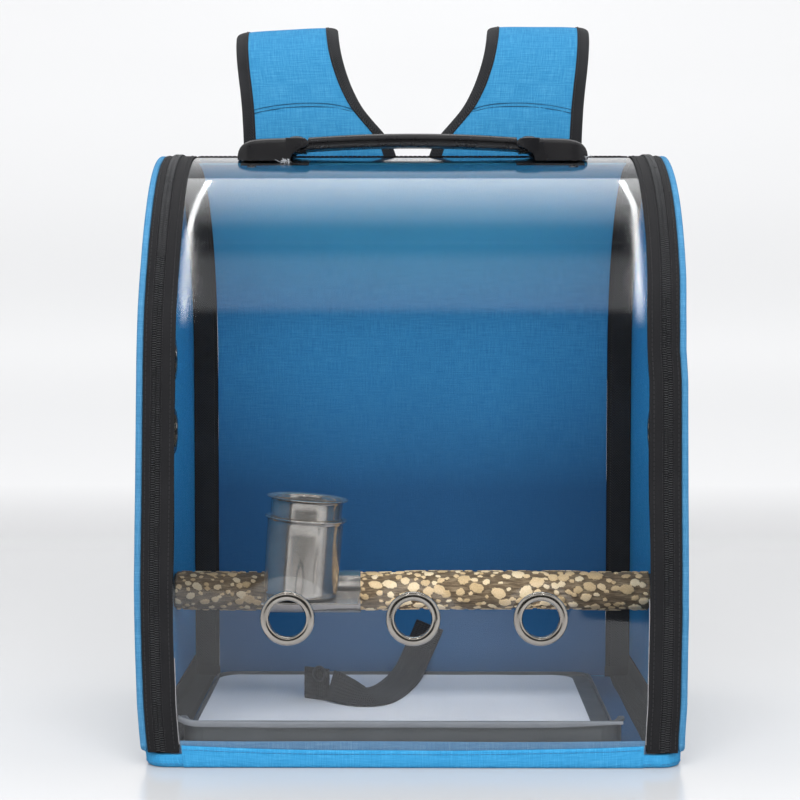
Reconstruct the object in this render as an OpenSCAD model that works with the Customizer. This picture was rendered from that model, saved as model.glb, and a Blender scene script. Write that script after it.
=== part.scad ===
// Bird travel carrier: an arched cabin with a clear front and top, two zipped
// side doors hinged along the floor, a perch, a feeder and backpack straps.
// Millimetres. X runs left to right, Y front to back, Z up.
// The origin is on the ground, in the middle of the cabin's floor.

/* [Cabin] */
// Half of the cabin's depth, front face to middle
half_d = 130; // [120:1:150]
// Height at which the straight walls turn into the arch
wall_h = 245; // [225:1:260]
// Rise of the arch above the straight walls
arch_h = 150; // [140:1:160]
// Half width of the clear front between the zip tapes
bay_x = 148.5; // [146:0.5:150]
// Half width to the outer face of the side piping
out_x = 173; // [172.5:0.5:175]

/* [Base] */
// Height of the base slab
base_h = 9; // [8.5:0.5:9.5]
// Height of the blue hem that holds the clear front
hem_h = 12; // [11:0.5:13]

/* [Zips] */
// Half width at the closed line of the zip
zip_x = 160; // [159:0.5:161]
// Height of a parked zip slider above the ground
slider_z = 39; // [36:1:60]

/* [Front eyelets] */
// Height of the row of air holes
eyelet_z = 95.4; // [85:0.1:110]
// Air hole radius
eyelet_r = 11.5; // [8:0.5:12]

/* [Perch] */
// Perch radius
perch_r = 14; // [12:0.5:14]
// Height of the perch's axis
perch_z = 93.2; // [90:0.1:100]

/* [Feeder] */
// Feeder position along the perch
feeder_x = -76; // [-85:1:60]
// Outer radius of the holder cup
cup_r = 25.5; // [25:0.5:26]
// Height of the holder cup
cup_h = 53; // [50:1:60]
// Lean of the cup to the right, degrees
cup_lean = 4.5; // [0:0.5:5]

/* [Tray] */
// Half width of the tray
tray_x = 143.5; // [136:0.5:143.5]
// Height of the tray's wall
tray_h = 19; // [14:1:20]

/* [Handle] */
// Distance of the handle in front of the arch's top line
handle_y = -20; // [-24:1:-18]
// Rise of the grip's underside above the arch at its middle
grip_gap = 5; // [4.5:0.5:6]

/* [Straps] */
// Thickness of a padded strap
strap_t = 9; // [7:1:10]

/* [Hidden] */
$fn = 48;

top_z = wall_h + arch_h;
n_arc = 21;

// colours as on the real object
c_blue = [0.16, 0.55, 0.85];
c_deep = [0.10, 0.36, 0.62];
c_black = [0.07, 0.07, 0.075];
c_steel = [0.72, 0.72, 0.73];
c_wood = [0.47, 0.36, 0.25];

// ---------- the arch profile, as [y, z] points ----------
// a point of the arch at angle t (0 = front, 90 = top), set in by o
function arch_pt(t, o) =
    let (y = -half_d * cos(t), z = wall_h + arch_h * sin(t),
         ny = -cos(t) / half_d, nz = sin(t) / arch_h,
         l = sqrt(ny * ny + nz * nz))
    [y - o * ny / l, z - o * nz / l];
function arch_pts(o, t0 = 0, t1 = 180) =
    let (lo = min(t0, t1), hi = max(t0, t1),
         ts = concat([lo], [for (t = arc_ts) if (t > lo + 0.05 && t < hi - 0.05) t], [hi]), n = len(ts) - 1)
    [for (i = [0:n]) arch_pt(ts[t0 < t1 ? i : n - i], o)];
// closed profile set in by o, standing on height zb
function profile(o, zb) =
    concat([[-half_d + o, zb]], arch_pts(o), [[half_d - o, zb]]);
// height of the arch, set in by o, at depth y
function arch_z(y, o = 0) = wall_h + (arch_h - o) * sqrt(1 - pow(y / (half_d - o), 2));
// angle on the arch at depth y
function arch_t(y) = 180 - acos(y / half_d);
// all layers share the same corner angles, with one at the seam of clear sheet and back
seam_t = arch_t(5);
arc_ts = concat([for (i = [0:n_arc]) seam_t * i / n_arc], [for (i = [1:n_arc]) seam_t + (180 - seam_t) * i / n_arc]);

// a [y, z] outline pushed out along X from x0 to x1
module along_x(x0, x1, pts) {
    translate([min(x0, x1), 0, 0]) rotate([90, 0, 90])
        linear_extrude(height = abs(x1 - x0)) polygon(pts);
}
// an arched hoop: between insets o0 and o1, from x0 to x1, front foot at zb
// and rear foot at zr
module hoop(x0, x1, o0, o1, zb, zr = -1) {
    zq = zr < 0 ? zb : zr;
    translate([min(x0, x1), 0, 0]) rotate([90, 0, 90])
        linear_extrude(height = abs(x1 - x0))
            polygon(concat([[-half_d + o0, zb]], arch_pts(o0), [[half_d - o0, zq]],
                           [[half_d - o1, zq]], arch_pts(o1, 180, 0), [[-half_d + o1, zb]]));
}
// the front part of a hoop: from the front foot up and over to angle t1
module front_hoop(x0, x1, o0, o1, zb, t1) {
    translate([min(x0, x1), 0, 0]) rotate([90, 0, 90])
        linear_extrude(height = abs(x1 - x0))
            polygon(concat([[-half_d + o0, zb]], arch_pts(o0, 0, t1),
                           arch_pts(o1, t1, 0), [[-half_d + o1, zb]]));
}
// the rear part of a hoop: from angle t0 over and down to the rear foot
module rear_hoop(x0, x1, o0, o1, zb, t0) {
    translate([min(x0, x1), 0, 0]) rotate([90, 0, 90])
        linear_extrude(height = abs(x1 - x0))
            polygon(concat(arch_pts(o0, t0, 180), [[half_d - o0, zb]],
                           [[half_d - o1, zb]], arch_pts(o1, 180, t0)));
}
// a hoop between two angles only
module arc_hoop(x0, x1, o0, o1, t0, t1) {
    translate([min(x0, x1), 0, 0]) rotate([90, 0, 90])
        linear_extrude(height = abs(x1 - x0))
            polygon(concat(arch_pts(o0, t0, t1), arch_pts(o1, t1, t0)));
}
module box(lo, hi) { translate(lo) cube([hi[0] - lo[0], hi[1] - lo[1], hi[2] - lo[2]]); }
module x_rod(x0, x1, y, z, r) {
    translate([min(x0, x1), y, z]) rotate([0, 90, 0]) cylinder(h = abs(x1 - x0), r = r);
}
module y_rod(y0, y1, x, z, r) {
    translate([x, max(y0, y1), z]) rotate([90, 0, 0]) cylinder(h = abs(y1 - y0), r = r);
}
module rounded_rect(w, d, r) {
    union() {
        square([w - 2 * r, d], center = true);
        square([w, d - 2 * r], center = true);
        for (sx = [-1, 1], sy = [-1, 1])
            translate([sx * (w / 2 - r), sy * (d / 2 - r)]) circle(r = r);
    }
}
// a strip swept through sections of four corners each
module strip(secs) {
    n = len(secs);
    pts = [for (s = secs) each s];
    faces = concat(
        [[3, 2, 1, 0]],
        [for (i = [0:n - 2], k = [0:3])
            [i * 4 + k, i * 4 + (k + 1) % 4, (i + 1) * 4 + (k + 1) % 4]],
        [for (i = [0:n - 2], k = [0:3])
            [i * 4 + k, (i + 1) * 4 + (k + 1) % 4, (i + 1) * 4 + k]],
        [[(n - 1) * 4, (n - 1) * 4 + 1, (n - 1) * 4 + 2, (n - 1) * 4 + 3]]);
    polyhedron(points = pts, faces = faces, convexity = 6);
}

// ---------- base ----------
base_x = 172.5;
module slab(x, y, z0, z1, r) {
    translate([0, 0, z0]) linear_extrude(height = z1 - z0) rounded_rect(2 * x, 2 * y, r);
}
module base_cover() {
    color(c_blue) union() {
        difference() {
            slab(base_x, half_d, 0, base_h, 8);
            slab(base_x - 1, half_d - 1, 1.5, base_h + 1, 7);
        }
        // the front and rear hems
        box([-bay_x, -half_d, base_h], [bay_x, -half_d + 1, hem_h]);
        box([-bay_x, half_d - 1, base_h], [bay_x, half_d, hem_h]);
    }
}
module floor_board() {
    color([0.85, 0.85, 0.82]) slab(base_x - 1.3, half_d - 4.2, 1.5, 6.5, 6);
}
module floor_lining() {
    color(c_deep) box([-151.5, -half_d + 3.2, 6.5], [151.5, half_d - 5, 8]);
}
module front_hem_inner() {
    color(c_blue) box([-bay_x + 0.5, -half_d + 2, 1.5], [bay_x - 0.5, -half_d + 3, hem_h + 5]);
}
module hinge_tapes() {
    color(c_black) for (s = [-1, 1])
        box([s > 0 ? 151.7 : -171, -half_d + 8, 6.5], [s > 0 ? 171 : -151.7, half_d - 8, 8]);
}

// ---------- clear front and top ----------
eyelet_xs = [-79, 0.5, 81];
handle_screw_x = 109;
module handle_screw_sites() {
    for (s = [-1, 1], dy = [-6, 6])
        translate([s * handle_screw_x, handle_y + dy, arch_z(handle_y + dy)]) children();
}
module clear_shell() {
    color([0.85, 0.92, 0.97, 0.35]) difference() {
        front_hoop(-156, 156, 1, 2, 1.5, seam_t);
        for (x = eyelet_xs) y_rod(-half_d - 5, -half_d + 8, x, eyelet_z, eyelet_r + 1);
        handle_screw_sites() translate([0, 0, -8]) cylinder(h = 14, r = 1.8);
    }
}
// an eyelet with its axis along Z: rolled flange above the sheet, barrel, washer below
module eyelet(sheet) {
    rotate_extrude() polygon([
        [eyelet_r, -sheet - 1.2], [eyelet_r, 1.0], [eyelet_r + 0.6, 1.7], [eyelet_r + 1.8, 2.0],
        [eyelet_r + 3.4, 1.6], [eyelet_r + 4.5, 0.7], [eyelet_r + 4.6, 0],
        [eyelet_r + 0.8, 0], [eyelet_r + 0.8, -sheet],
        [eyelet_r + 4.2, -sheet], [eyelet_r + 4.0, -sheet - 0.8], [eyelet_r + 1.4, -sheet - 1.4]]);
}
module front_eyelets() {
    color(c_steel) for (x = eyelet_xs)
        translate([x, -half_d + 1, eyelet_z]) rotate([90, 0, 0]) eyelet(1);
}
module top_seam_tape() {
    color(c_black) arc_hoop(-bay_x + 0.5, bay_x - 0.5, 0, 1, arch_t(-1), arch_t(11));
}

// ---------- back ----------
module back_cover() {
    color(c_blue) rear_hoop(-156, 156, 1, 2, 1.5, seam_t);
}
board_top_t = seam_t + (180 - seam_t) * 2 / 3;
module back_board() {
    color([0.85, 0.85, 0.82]) rear_hoop(-147, 147, 2, 4, 9.5, board_top_t);
}
module back_foam() {
    color([0.9, 0.9, 0.88]) arc_hoop(-147, 147, 2, 4, seam_t, board_top_t);
}
module back_lining() {
    color(c_deep) rear_hoop(-148, 148, 4, 5, 8, seam_t);
}
module back_pad() {
    color(c_black) translate([0, half_d - 1, 190]) rotate([-90, 0, 0]) union() {
        linear_extrude(height = 6) rounded_rect(236, 268, 26);
        translate([0, 0, 6]) linear_extrude(height = 3) rounded_rect(222, 254, 22);
    }
}

// ---------- zips on the cabin side ----------
// half of the channel between the coils, where the slider's post runs
coil_gap = 1.25;
module zip_tapes() {
    color(c_black) for (s = [-1, 1]) hoop(s * bay_x, s * (zip_x - 2), 0, 1, base_h + 1);
}
module zip_coils() {
    color(c_black) for (s = [-1, 1])
        hoop(s * (zip_x - 2), s * (zip_x - coil_gap), -0.5, 1.1, base_h + 1, slider_z - 1);
}
module arch_rods() {
    color([0.55, 0.56, 0.58]) for (s = [-1, 1]) hoop(s * 151, s * 153, 3, 5, base_h + 1);
}
module seam_bindings() {
    color(c_black) for (s = [-1, 1]) hoop(s * 148.3, s * 155.5, 2.1, 3, base_h + 1);
}

// ---------- perch ----------
perch_end = 164.5;
module perch() {
    color(c_wood) difference() {
        x_rod(-perch_end, perch_end, 0, perch_z, perch_r);
        for (s = [-1, 1]) x_rod(s * (perch_end - 11), s * (perch_end + 1), 0, perch_z, 5.2);
    }
}
module perch_washers() {
    color(c_black) for (s = [-1, 1]) difference() {
        x_rod(s * perch_end, s * (perch_end + 1.6), 0, perch_z, 12);
        x_rod(s * (perch_end - 1), s * (perch_end + 3), 0, perch_z, 5.2);
    }
}

// ---------- tray ----------
tray_y0 = -half_d + 12;
tray_y1 = half_d - 8;
tray_sx = -6.5;
tray_z = 8.1;
// wall height at the sides and the back
tray_low = 4;
module tray_plan(inset, r) {
    translate([tray_sx, (tray_y0 + tray_y1) / 2])
        rounded_rect(2 * (tray_x - inset), tray_y1 - tray_y0 - 2 * inset, r);
}
module tray() {
    color([0.09, 0.09, 0.1]) difference() {
        union() {
            difference() {
                translate([0, 0, tray_z]) linear_extrude(height = tray_h) tray_plan(2, 14);
                translate([0, 0, tray_z + 1.5]) linear_extrude(height = tray_h) tray_plan(3.6, 12.4);
            }
            // the turned-out rim of the front wall
            translate([0, 0, tray_z + tray_h - 1.6]) linear_extrude(height = 1.6) difference() {
                tray_plan(0, 16);
                tray_plan(3.6, 12.4);
            }
        }
        // the side walls fall away behind the front corners
        along_x(-200, 200, [[tray_y0 + 16, 80], [tray_y0 + 16, tray_z + tray_h + 1],
            [tray_y0 + 60, tray_z + tray_low], [200, tray_z + tray_low], [200, 80]]);
    }
}
module tray_liner() {
    color([0.93, 0.93, 0.95]) translate([0, 0, tray_z + 1.5]) linear_extrude(height = 0.6)
        translate([-12.3, (tray_y0 + tray_y1) / 2]) rounded_rect(267, tray_y1 - tray_y0 - 12, 16);
}

// ---------- tether ----------
// [x, y, z] of the strap's middle line and [x, y, z] of its width direction:
// flat on the back wall at first, then leaning on its edge on the liner
tether_route = [
    [[13.5, 124.1, 47.5], [0.95, 0, -0.31]], [[10, 124.1, 39], [0.94, 0, -0.35]],
    [[6.3, 123.2, 31], [0.9, 0, -0.42]], [[3, 119.5, 24.5], [0.86, -0.05, -0.5]],
    [[0.3, 112, 19.6], [0.86, -0.07, -0.5]], [[-2, 102, 16.8], [0.88, -0.09, -0.44]],
    [[-4.2, 90, 15.6], [0.9, -0.12, -0.4]], [[-6.8, 76, 15], [0.92, -0.16, -0.36]],
    [[-9.8, 62, 14.8], [0.92, -0.2, -0.34]], [[-13, 48, 14.8], [0.9, -0.25, -0.34]],
    [[-17, 34, 14.8], [0.85, -0.38, -0.34]], [[-21, 23, 15], [0.74, -0.56, -0.36]],
    [[-26, 14.5, 15.4], [0.5, -0.77, -0.38]], [[-32.5, 11, 15.8], [0.15, -0.9, -0.4]],
    [[-40, 12, 17], [-0.12, -0.84, -0.52]], [[-47, 15.2, 18.8], [-0.3, -0.65, -0.68]],
    [[-53.5, 19, 20.6], [-0.35, -0.45, -0.8]], [[-58.5, 22, 21.6], [-0.15, -0.22, -0.95]]];
tether_w = 22;
tether_t = 1.6;
function unit(v) = v / norm(v);
function tether_dir(i) = let (a = max(i - 1, 0), b = min(i + 1, len(tether_route) - 1))
    unit(tether_route[b][0] - tether_route[a][0]);
function tether_sec(i) = let (c = tether_route[i][0], d = tether_dir(i), w0 = tether_route[i][1],
    w = unit(w0 - (w0 * d) * d), n = unit(cross(d, w)))
    [c + w * tether_w / 2 - n * tether_t / 2, c - w * tether_w / 2 - n * tether_t / 2,
     c - w * tether_w / 2 + n * tether_t / 2, c + w * tether_w / 2 + n * tether_t / 2];
module tether_strap() {
    color(c_black) strip([for (i = [0:len(tether_route) - 1]) tether_sec(i)]);
}
// the folded and sewn end of the strap, standing on its edge
loop_at = [-59.2, 22.4, 0];
module loop_frame() { translate(loop_at) rotate([0, 0, 150]) children(); }
module tether_loop() {
    color(c_black) loop_frame() box([0.2, -2.6, 10.4], [21, 2.6, 33.2]);
}
module tether_ring() {
    color([0.25, 0.25, 0.26]) loop_frame() translate([6, 3.7, 30]) rotate([90, 0, 0])
        rotate_extrude() translate([4.6, 0]) circle(r = 1.1);
}

// ---------- carry handle ----------
cap_in = 80;
cap_out = 117;
cap_w = 28;
grip_under = top_z + grip_gap - 0.2;
grip_end = 70.4;
function grip_bow(x) = pow(x / cap_in, 2);
module cap_shape() {
    // outline seen from the front
    translate([0, handle_y + cap_w / 2, 0]) rotate([90, 0, 0]) linear_extrude(height = cap_w)
        polygon([[cap_out + 1, top_z - 14], [cap_out, top_z + 1], [cap_out - 2.5, top_z + 5.6],
                 [cap_out - 7, top_z + 8.4], [cap_out - 14, top_z + 9.6], [cap_in - 5, top_z + 10.4],
                 [cap_in - 8, top_z + 9.8], [cap_in + 1, top_z + 1], [cap_in + 4, top_z - 14]]);
}
module handle_cap_right() {
    color(c_black) difference() {
        cap_shape();
        along_x(40, 130, profile(0, 300));
        // pocket for the grip's tongue, open towards the grip
        box([cap_in - 14, handle_y - 9, top_z - 16], [102.5, handle_y + 9, top_z + 8]);
        handle_screw_sites() translate([0, 0, -8]) cylinder(h = 14.5, r = 1.5);
    }
}
module handle_cap_left() { mirror([1, 0, 0]) handle_cap_right(); }
module handle_grip() {
    n = 24;
    up = grip_under + 9.2;
    color(c_black) union() {
        translate([0, handle_y + 11, 0]) rotate([90, 0, 0]) linear_extrude(height = 22)
            polygon(concat(
                [for (i = [0:n]) let (x = grip_end * (2 * i / n - 1)) [x, up - 4.4 * grip_bow(x)]],
                [[grip_end, top_z + 6.4]],
                // slanted ends, clear of the caps' lips also when lifted
                [for (i = [0:n]) let (x = (grip_end + 5) * (1 - 2 * i / n)) [x, grip_under - 3.6 * grip_bow(x)]],
                [[-grip_end, top_z + 6.4]]));
        for (s = [-1, 1])
            box([s > 0 ? 70 : -100, handle_y - 8, top_z + 0.4], [s > 0 ? 100 : -70, handle_y + 8, top_z + 3]);
    }
}
module handle_backing() {
    color(c_black) difference() {
        for (s = [-1, 1]) intersection() {
            hoop(s * 70, s * 116, 2.1, 3.6, 300);
            box([-120, handle_y - 12, 350], [120, handle_y + 12, 400]);
        }
        handle_screw_sites() translate([0, 0, -8]) cylinder(h = 14, r = 1.8);
    }
}
module handle_screws() {
    color(c_steel) handle_screw_sites() union() {
        translate([0, 0, -5]) cylinder(h = 11, r = 1.5);
        translate([0, 0, -6.3]) cylinder(h = 1.6, r = 3.2);
    }
}

// ---------- feeder ----------
clip_r0 = perch_r + 0.35;
clip_r1 = perch_r + 1.35;
clip_x0 = feeder_x - 25;
clip_x1 = feeder_x + 40;
shelf_z = 94.6;
cup_y = -(clip_r1 + cup_r + 0.4);
cup_z = shelf_z + 2.2;
module feeder_clip() {
    color(c_steel) union() {
        // the spring clip wraps the front, underside and back of the perch
        translate([clip_x0, 0, perch_z]) rotate([90, 0, 90]) linear_extrude(height = clip_x1 - clip_x0)
            difference() {
                circle(r = clip_r1);
                circle(r = clip_r0);
                polygon([[0, 0], [-8, 30], [40, 30], [40, 6]]);
            }
        // the shelf under the cup
        difference() {
            box([clip_x0, cup_y - 24, shelf_z - 1], [clip_x1, -clip_r0 - 0.1, shelf_z]);
            cup_frame() translate([0, 0, -6]) cylinder(h = 6, r = 2.05);
        }
    }
}
module cup_frame() { translate([feeder_x, cup_y, cup_z]) rotate([0, cup_lean, 0]) children(); }
module cup_shape(r_low, r_top, h, t, rim) {
    rotate_extrude() polygon([
        [0, 0], [r_low - 2, 0], [r_low - 0.6, 0.6], [r_low, 2], [r_top, h - 2.4],
        [rim, h - 0.9], [rim + 0.2, h - 0.3], [rim - 0.1, h], [rim - 0.6, h - 0.1],
        [r_top - t, h - 1.6], [r_low - t, 2.2], [r_low - 1.6, t], [0, t]]);
}
module feeder_holder() {
    color(c_steel) difference() {
        cup_frame() cup_shape(cup_r - 0.4, cup_r, cup_h, 0.7, cup_r + 2.2);
        cup_frame() translate([0, 0, -1]) cylinder(h = 4, r = 2.05);
    }
}
module feeder_rivet() {
    color(c_steel) cup_frame() union() {
        translate([0, 0, -4.4]) cylinder(h = 5.6, r = 2);
        translate([0, 0, 0.75]) cylinder(h = 1, r = 4);
        translate([0, 0, -4.9]) cylinder(h = 1, r = 3.4);
    }
}
// the deeper food cup stands on the rivet's head inside the holder
cup_raise = 2.1;
module feeder_cup() {
    color(c_steel) cup_frame() translate([0, 0, cup_raise])
        cup_shape(cup_r - 2.1, cup_r - 1.4, cup_h + 11.4, 0.7, cup_r + 1.9);
}

// ---------- side doors ----------
door_in = 166.5;
door_out = 170.5;
door_zb = base_h + 1;
vent_zs = [205, 255, 305];
module door_plate(s, x0, x1, inset, hole) {
    difference() {
        along_x(s * x0, s * x1, profile(inset, door_zb));
        for (z = vent_zs) x_rod(s * (x0 - 1), s * (x1 + 1), 0, z, eyelet_r + hole);
        x_rod(s * (x0 - 1), s * (x1 + 1), 0, perch_z, 2.8);
    }
}
module door_lining(s) { color(c_deep) door_plate(s, door_in, door_in + 0.8, 1.1, 1); }
module door_board(s) { color([0.85, 0.85, 0.82]) door_plate(s, door_in + 0.8, door_out - 0.8, 1.1, 1); }
module door_cover(s) { color(c_blue) door_plate(s, door_out - 0.8, door_out, 1.1, 1); }
module door_piping(s) {
    color(c_blue) union() {
        hoop(s * 168.6, s * door_out, 0, 1, door_zb);
        hoop(s * door_out, s * out_x, 0, 4.5, door_zb);
        box([s > 0 ? door_out : -out_x, -half_d + 4.4, door_zb],
            [s > 0 ? out_x : -door_out, half_d - 4.4, door_zb + 4.5]);
    }
}
module door_tape(s) {
    color(c_black) union() {
        hoop(s * (zip_x + 2), s * 168.5, 0, 1, door_zb);
        hoop(s * (zip_x + 2), s * (door_in - 0.1), 1, 1.9, door_zb);
    }
}
module door_coil(s) {
    color(c_black) hoop(s * (zip_x + coil_gap), s * (zip_x + 2), -0.5, 1.1, door_zb, slider_z - 1);
}
module door_eyelets(s) {
    color(c_steel) for (z = vent_zs)
        translate([s * door_out, 0, z]) rotate([0, s * 90, 0]) eyelet(door_out - door_in);
}
module perch_knob(s) {
    // washer against the door and a lobed thumb knob
    color(c_black) difference() {
        union() {
            x_rod(s * door_out, s * (door_out + 1.8), 0, perch_z, 14);
            x_rod(s * (door_out + 1.8), s * (door_out + 6), 0, perch_z, 6.5);
            x_rod(s * (door_out + 6), s * (door_out + 14.5), 0, perch_z, 9.5);
            for (a = [0:60:300])
                x_rod(s * (door_out + 6), s * (door_out + 14.5), 9 * cos(a), perch_z + 9 * sin(a), 3);
        }
        x_rod(s * (door_out - 1), s * (door_out + 12), 0, perch_z, 2.6);
    }
}
module perch_screw(s) {
    color(c_steel) x_rod(s * (perch_end - 8), s * (door_out + 11.8), 0, perch_z, 2.5);
}

// ---------- zip sliders, parked at the foot of the rear zips ----------
pin_dy = 4.4;
module slider_plate(y, w) {
    translate([0, y, 0]) rotate([-90, 0, 0]) linear_extrude(height = 1.2)
        polygon([[-w + 1, -5.5], [w - 1, -5.5], [w, -1], [w, 5.5], [1.4, 6.4], [-1.4, 6.4], [-w, 5.5], [-w, -1]]);
}
module zip_slider(s) {
    color([0.16, 0.16, 0.17]) translate([s * zip_x, half_d, slider_z]) union() {
        slider_plate(0.8, 4.3);
        slider_plate(-3.9, 3.9);
        // the post between the plates, below the end of the coil
        box([-1.1, -3, -6], [1.1, 1, -2]);
        // the bridge: two cheeks and the pin that the pull hangs from
        for (dx = [-3, 2]) box([dx, 1.9, -1.4], [dx + 1, pin_dy + 1.2, 2.8]);
        x_rod(-2.6, 2.6, pin_dy, 0.8, 0.8);
    }
}
module zip_pull(s) {
    color([0.16, 0.16, 0.17]) translate([s * zip_x, half_d + pin_dy, slider_z + 0.8]) difference() {
        union() {
            x_rod(-1.7, 1.7, 0, 0, 1.7);
            box([-1.7, -0.7, -6.5], [1.7, 0.7, 0]);
            translate([0, -0.7, 0]) rotate([-90, 0, 0]) linear_extrude(height = 1.4)
                polygon([[-1.7, 4.8], [1.7, 4.8], [3.4, 7], [3.4, 23], [2.4, 25.6], [-2.4, 25.6], [-3.4, 23], [-3.4, 7]]);
        }
        x_rod(-3, 3, 0, 0, 0.86);
        y_rod(-2, 2, 0, -21.5, 1.5);
    }
}

// ---------- shoulder straps ----------
// [y, z, outer x, inner x] along the middle of the left strap
strap_route = [
    [16.5, 394.8, 118, 11], [17, 404, 118, 14.6], [18, 412, 118.3, 20], [19.5, 420, 118.8, 27],
    [21.5, 429, 119.3, 34.5], [24.5, 440, 120, 41], [28.5, 452, 121, 46], [34, 464, 122, 49.5],
    [42, 475, 123, 51.5], [52, 482, 123.5, 52.5], [64, 484, 123.5, 53], [77, 481, 123.5, 53],
    [91, 472, 123.5, 53], [106, 457, 123, 53], [121, 436, 123, 53], [135, 409, 122.5, 53.5],
    [147, 376, 122, 54], [156, 340, 121.5, 54.5], [161, 304, 121, 55], [162.5, 268, 120.5, 55.5],
    [161, 240, 118, 58], [159, 222, 110, 66], [158, 212, 102, 74]];
function strap_n(i) = let (a = strap_route[max(i - 1, 0)], b = strap_route[min(i + 1, len(strap_route) - 1)],
    d = unit([b[0] - a[0], b[1] - a[1]])) [-d[1], d[0]];
function strap_sec(i, s, t, in0) = let (r = strap_route[i], n = strap_n(i),
    xo = s * (r[2] - in0), xi = s * (r[3] + in0), h = t / 2,
    a = [xo, r[0] + n[0] * h, r[1] + n[1] * h], b = [xi, r[0] + n[0] * h, r[1] + n[1] * h],
    c = [xi, r[0] - n[0] * h, r[1] - n[1] * h], d = [xo, r[0] - n[0] * h, r[1] - n[1] * h])
    s > 0 ? [a, b, c, d] : [b, a, d, c];
module strap(s) { strip([for (i = [0:len(strap_route) - 1]) strap_sec(i, s, strap_t, 0)]); }
module straps() { color(c_blue) for (s = [-1, 1]) strap(s); }
module yoke_panel() {
    color(c_blue) difference() {
        arc_hoop(-124, 124, 0, 1, arch_t(11.3), arch_t(52));
        box([-10, 0, 380], [10, 100, 400]);
    }
}
// [x, y, z] along the lower webbing, from the padded strap's end to the base corner
web_route = [[88.3, 158, 194.7], [88.4, 158, 188], [91, 157.5, 180], [96, 156, 156],
    [103, 153, 128], [111, 148, 98], [119, 142, 68], [126, 136, 44], [130, 132.6, 30], [131, 131.6, 16]];
web_w = 25;
web_t = 1.6;
function web_sec(i, s) = let (r = web_route[i], a = web_route[max(i - 1, 0)],
    b = web_route[min(i + 1, len(web_route) - 1)], d = unit(b - a),
    w = unit(cross([0, 1, 0], d)), n = unit(cross(d, w)), c = [r[0] * s, r[1], r[2]],
    ws = [w[0] * s, w[1], w[2]], ns = [n[0] * s, n[1], n[2]],
    p = c + ws * web_w / 2 + ns * web_t / 2, q = c - ws * web_w / 2 + ns * web_t / 2,
    u = c - ws * web_w / 2 - ns * web_t / 2, v = c + ws * web_w / 2 - ns * web_t / 2)
    s > 0 ? [p, q, u, v] : [q, p, v, u];
// ladder locks between the padded straps and the lower webbing
module strap_buckles() {
    color(c_black) for (s = [-1, 1]) translate([s * 88.3, 157.8, 204]) difference() {
        box([-16, -2.6, -9], [16, 2.6, 7]);
        for (z = [-6.2, -1.2, 3.4]) box([-13, -4, z - 1.1], [13, 4, z + 1.3]);
    }
}
module strap_webbing() {
    color(c_black) for (s = [-1, 1]) strip([for (i = [0:len(web_route) - 1]) web_sec(i, s)]);
}

// ---------- output ----------
base_cover();
floor_board();
floor_lining();
front_hem_inner();
hinge_tapes();
clear_shell();
front_eyelets();
top_seam_tape();
back_cover();
back_board();
back_foam();
back_lining();
back_pad();
zip_tapes();
zip_coils();
arch_rods();
seam_bindings();
perch();
perch_washers();
tray();
tray_liner();
tether_strap();
tether_loop();
tether_ring();
handle_cap_left();
handle_cap_right();
handle_grip();
handle_backing();
handle_screws();
feeder_clip();
feeder_holder();
feeder_rivet();
feeder_cup();
door_board(-1);  // door_board_left
door_cover(-1);  // door_cover_left
door_lining(-1);  // door_lining_left
door_piping(-1);  // door_piping_left
door_tape(-1);  // door_tape_left
door_coil(-1);  // door_coil_left
door_eyelets(-1);  // door_eyelets_left
perch_knob(-1);  // perch_knob_left
perch_screw(-1);  // perch_screw_left
door_board(1);  // door_board_right
door_cover(1);  // door_cover_right
door_lining(1);  // door_lining_right
door_piping(1);  // door_piping_right
door_tape(1);  // door_tape_right
door_coil(1);  // door_coil_right
door_eyelets(1);  // door_eyelets_right
perch_knob(1);  // perch_knob_right
perch_screw(1);  // perch_screw_right
zip_slider(-1);  // zip_slider_left
zip_slider(1);  // zip_slider_right
zip_pull(-1);  // zip_pull_left
zip_pull(1);  // zip_pull_right
yoke_panel();
straps();
strap_buckles();
strap_webbing();
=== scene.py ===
import math

import bmesh
import bpy
import numpy as np
from mathutils import Matrix, Vector


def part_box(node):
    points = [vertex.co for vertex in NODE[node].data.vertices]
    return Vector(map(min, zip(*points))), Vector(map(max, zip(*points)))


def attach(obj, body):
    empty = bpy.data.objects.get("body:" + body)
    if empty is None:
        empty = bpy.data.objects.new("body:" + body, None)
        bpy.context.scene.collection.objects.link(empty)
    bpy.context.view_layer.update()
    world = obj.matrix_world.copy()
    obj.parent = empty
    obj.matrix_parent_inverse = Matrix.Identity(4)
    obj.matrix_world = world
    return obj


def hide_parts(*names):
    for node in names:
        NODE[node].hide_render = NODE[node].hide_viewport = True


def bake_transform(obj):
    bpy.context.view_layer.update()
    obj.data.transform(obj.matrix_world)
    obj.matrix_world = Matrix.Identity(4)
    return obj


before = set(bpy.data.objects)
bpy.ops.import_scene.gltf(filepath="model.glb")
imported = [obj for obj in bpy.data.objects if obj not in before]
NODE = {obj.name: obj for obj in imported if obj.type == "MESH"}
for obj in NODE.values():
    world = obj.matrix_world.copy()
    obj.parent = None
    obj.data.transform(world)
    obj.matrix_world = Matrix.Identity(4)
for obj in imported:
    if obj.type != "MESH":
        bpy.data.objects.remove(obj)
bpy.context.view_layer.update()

MM = 0.001
SIDES = (("left", -1), ("right", 1))

# ------------------------------------------------------------------ camera
cam_data = bpy.data.cameras.new("camera")
cam_data.lens = 84.9
cam_data.sensor_width = 36
cam_data.clip_start = 0.05
cam = bpy.data.objects.new("camera", cam_data)
cam.location = (0, -1.310, 0.298)
cam.rotation_euler = (math.radians(86.88), 0, math.radians(0.38))
bpy.context.scene.collection.objects.link(cam)
bpy.context.scene.camera = cam

# ------------------------------------------------------------------ node helpers


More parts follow.
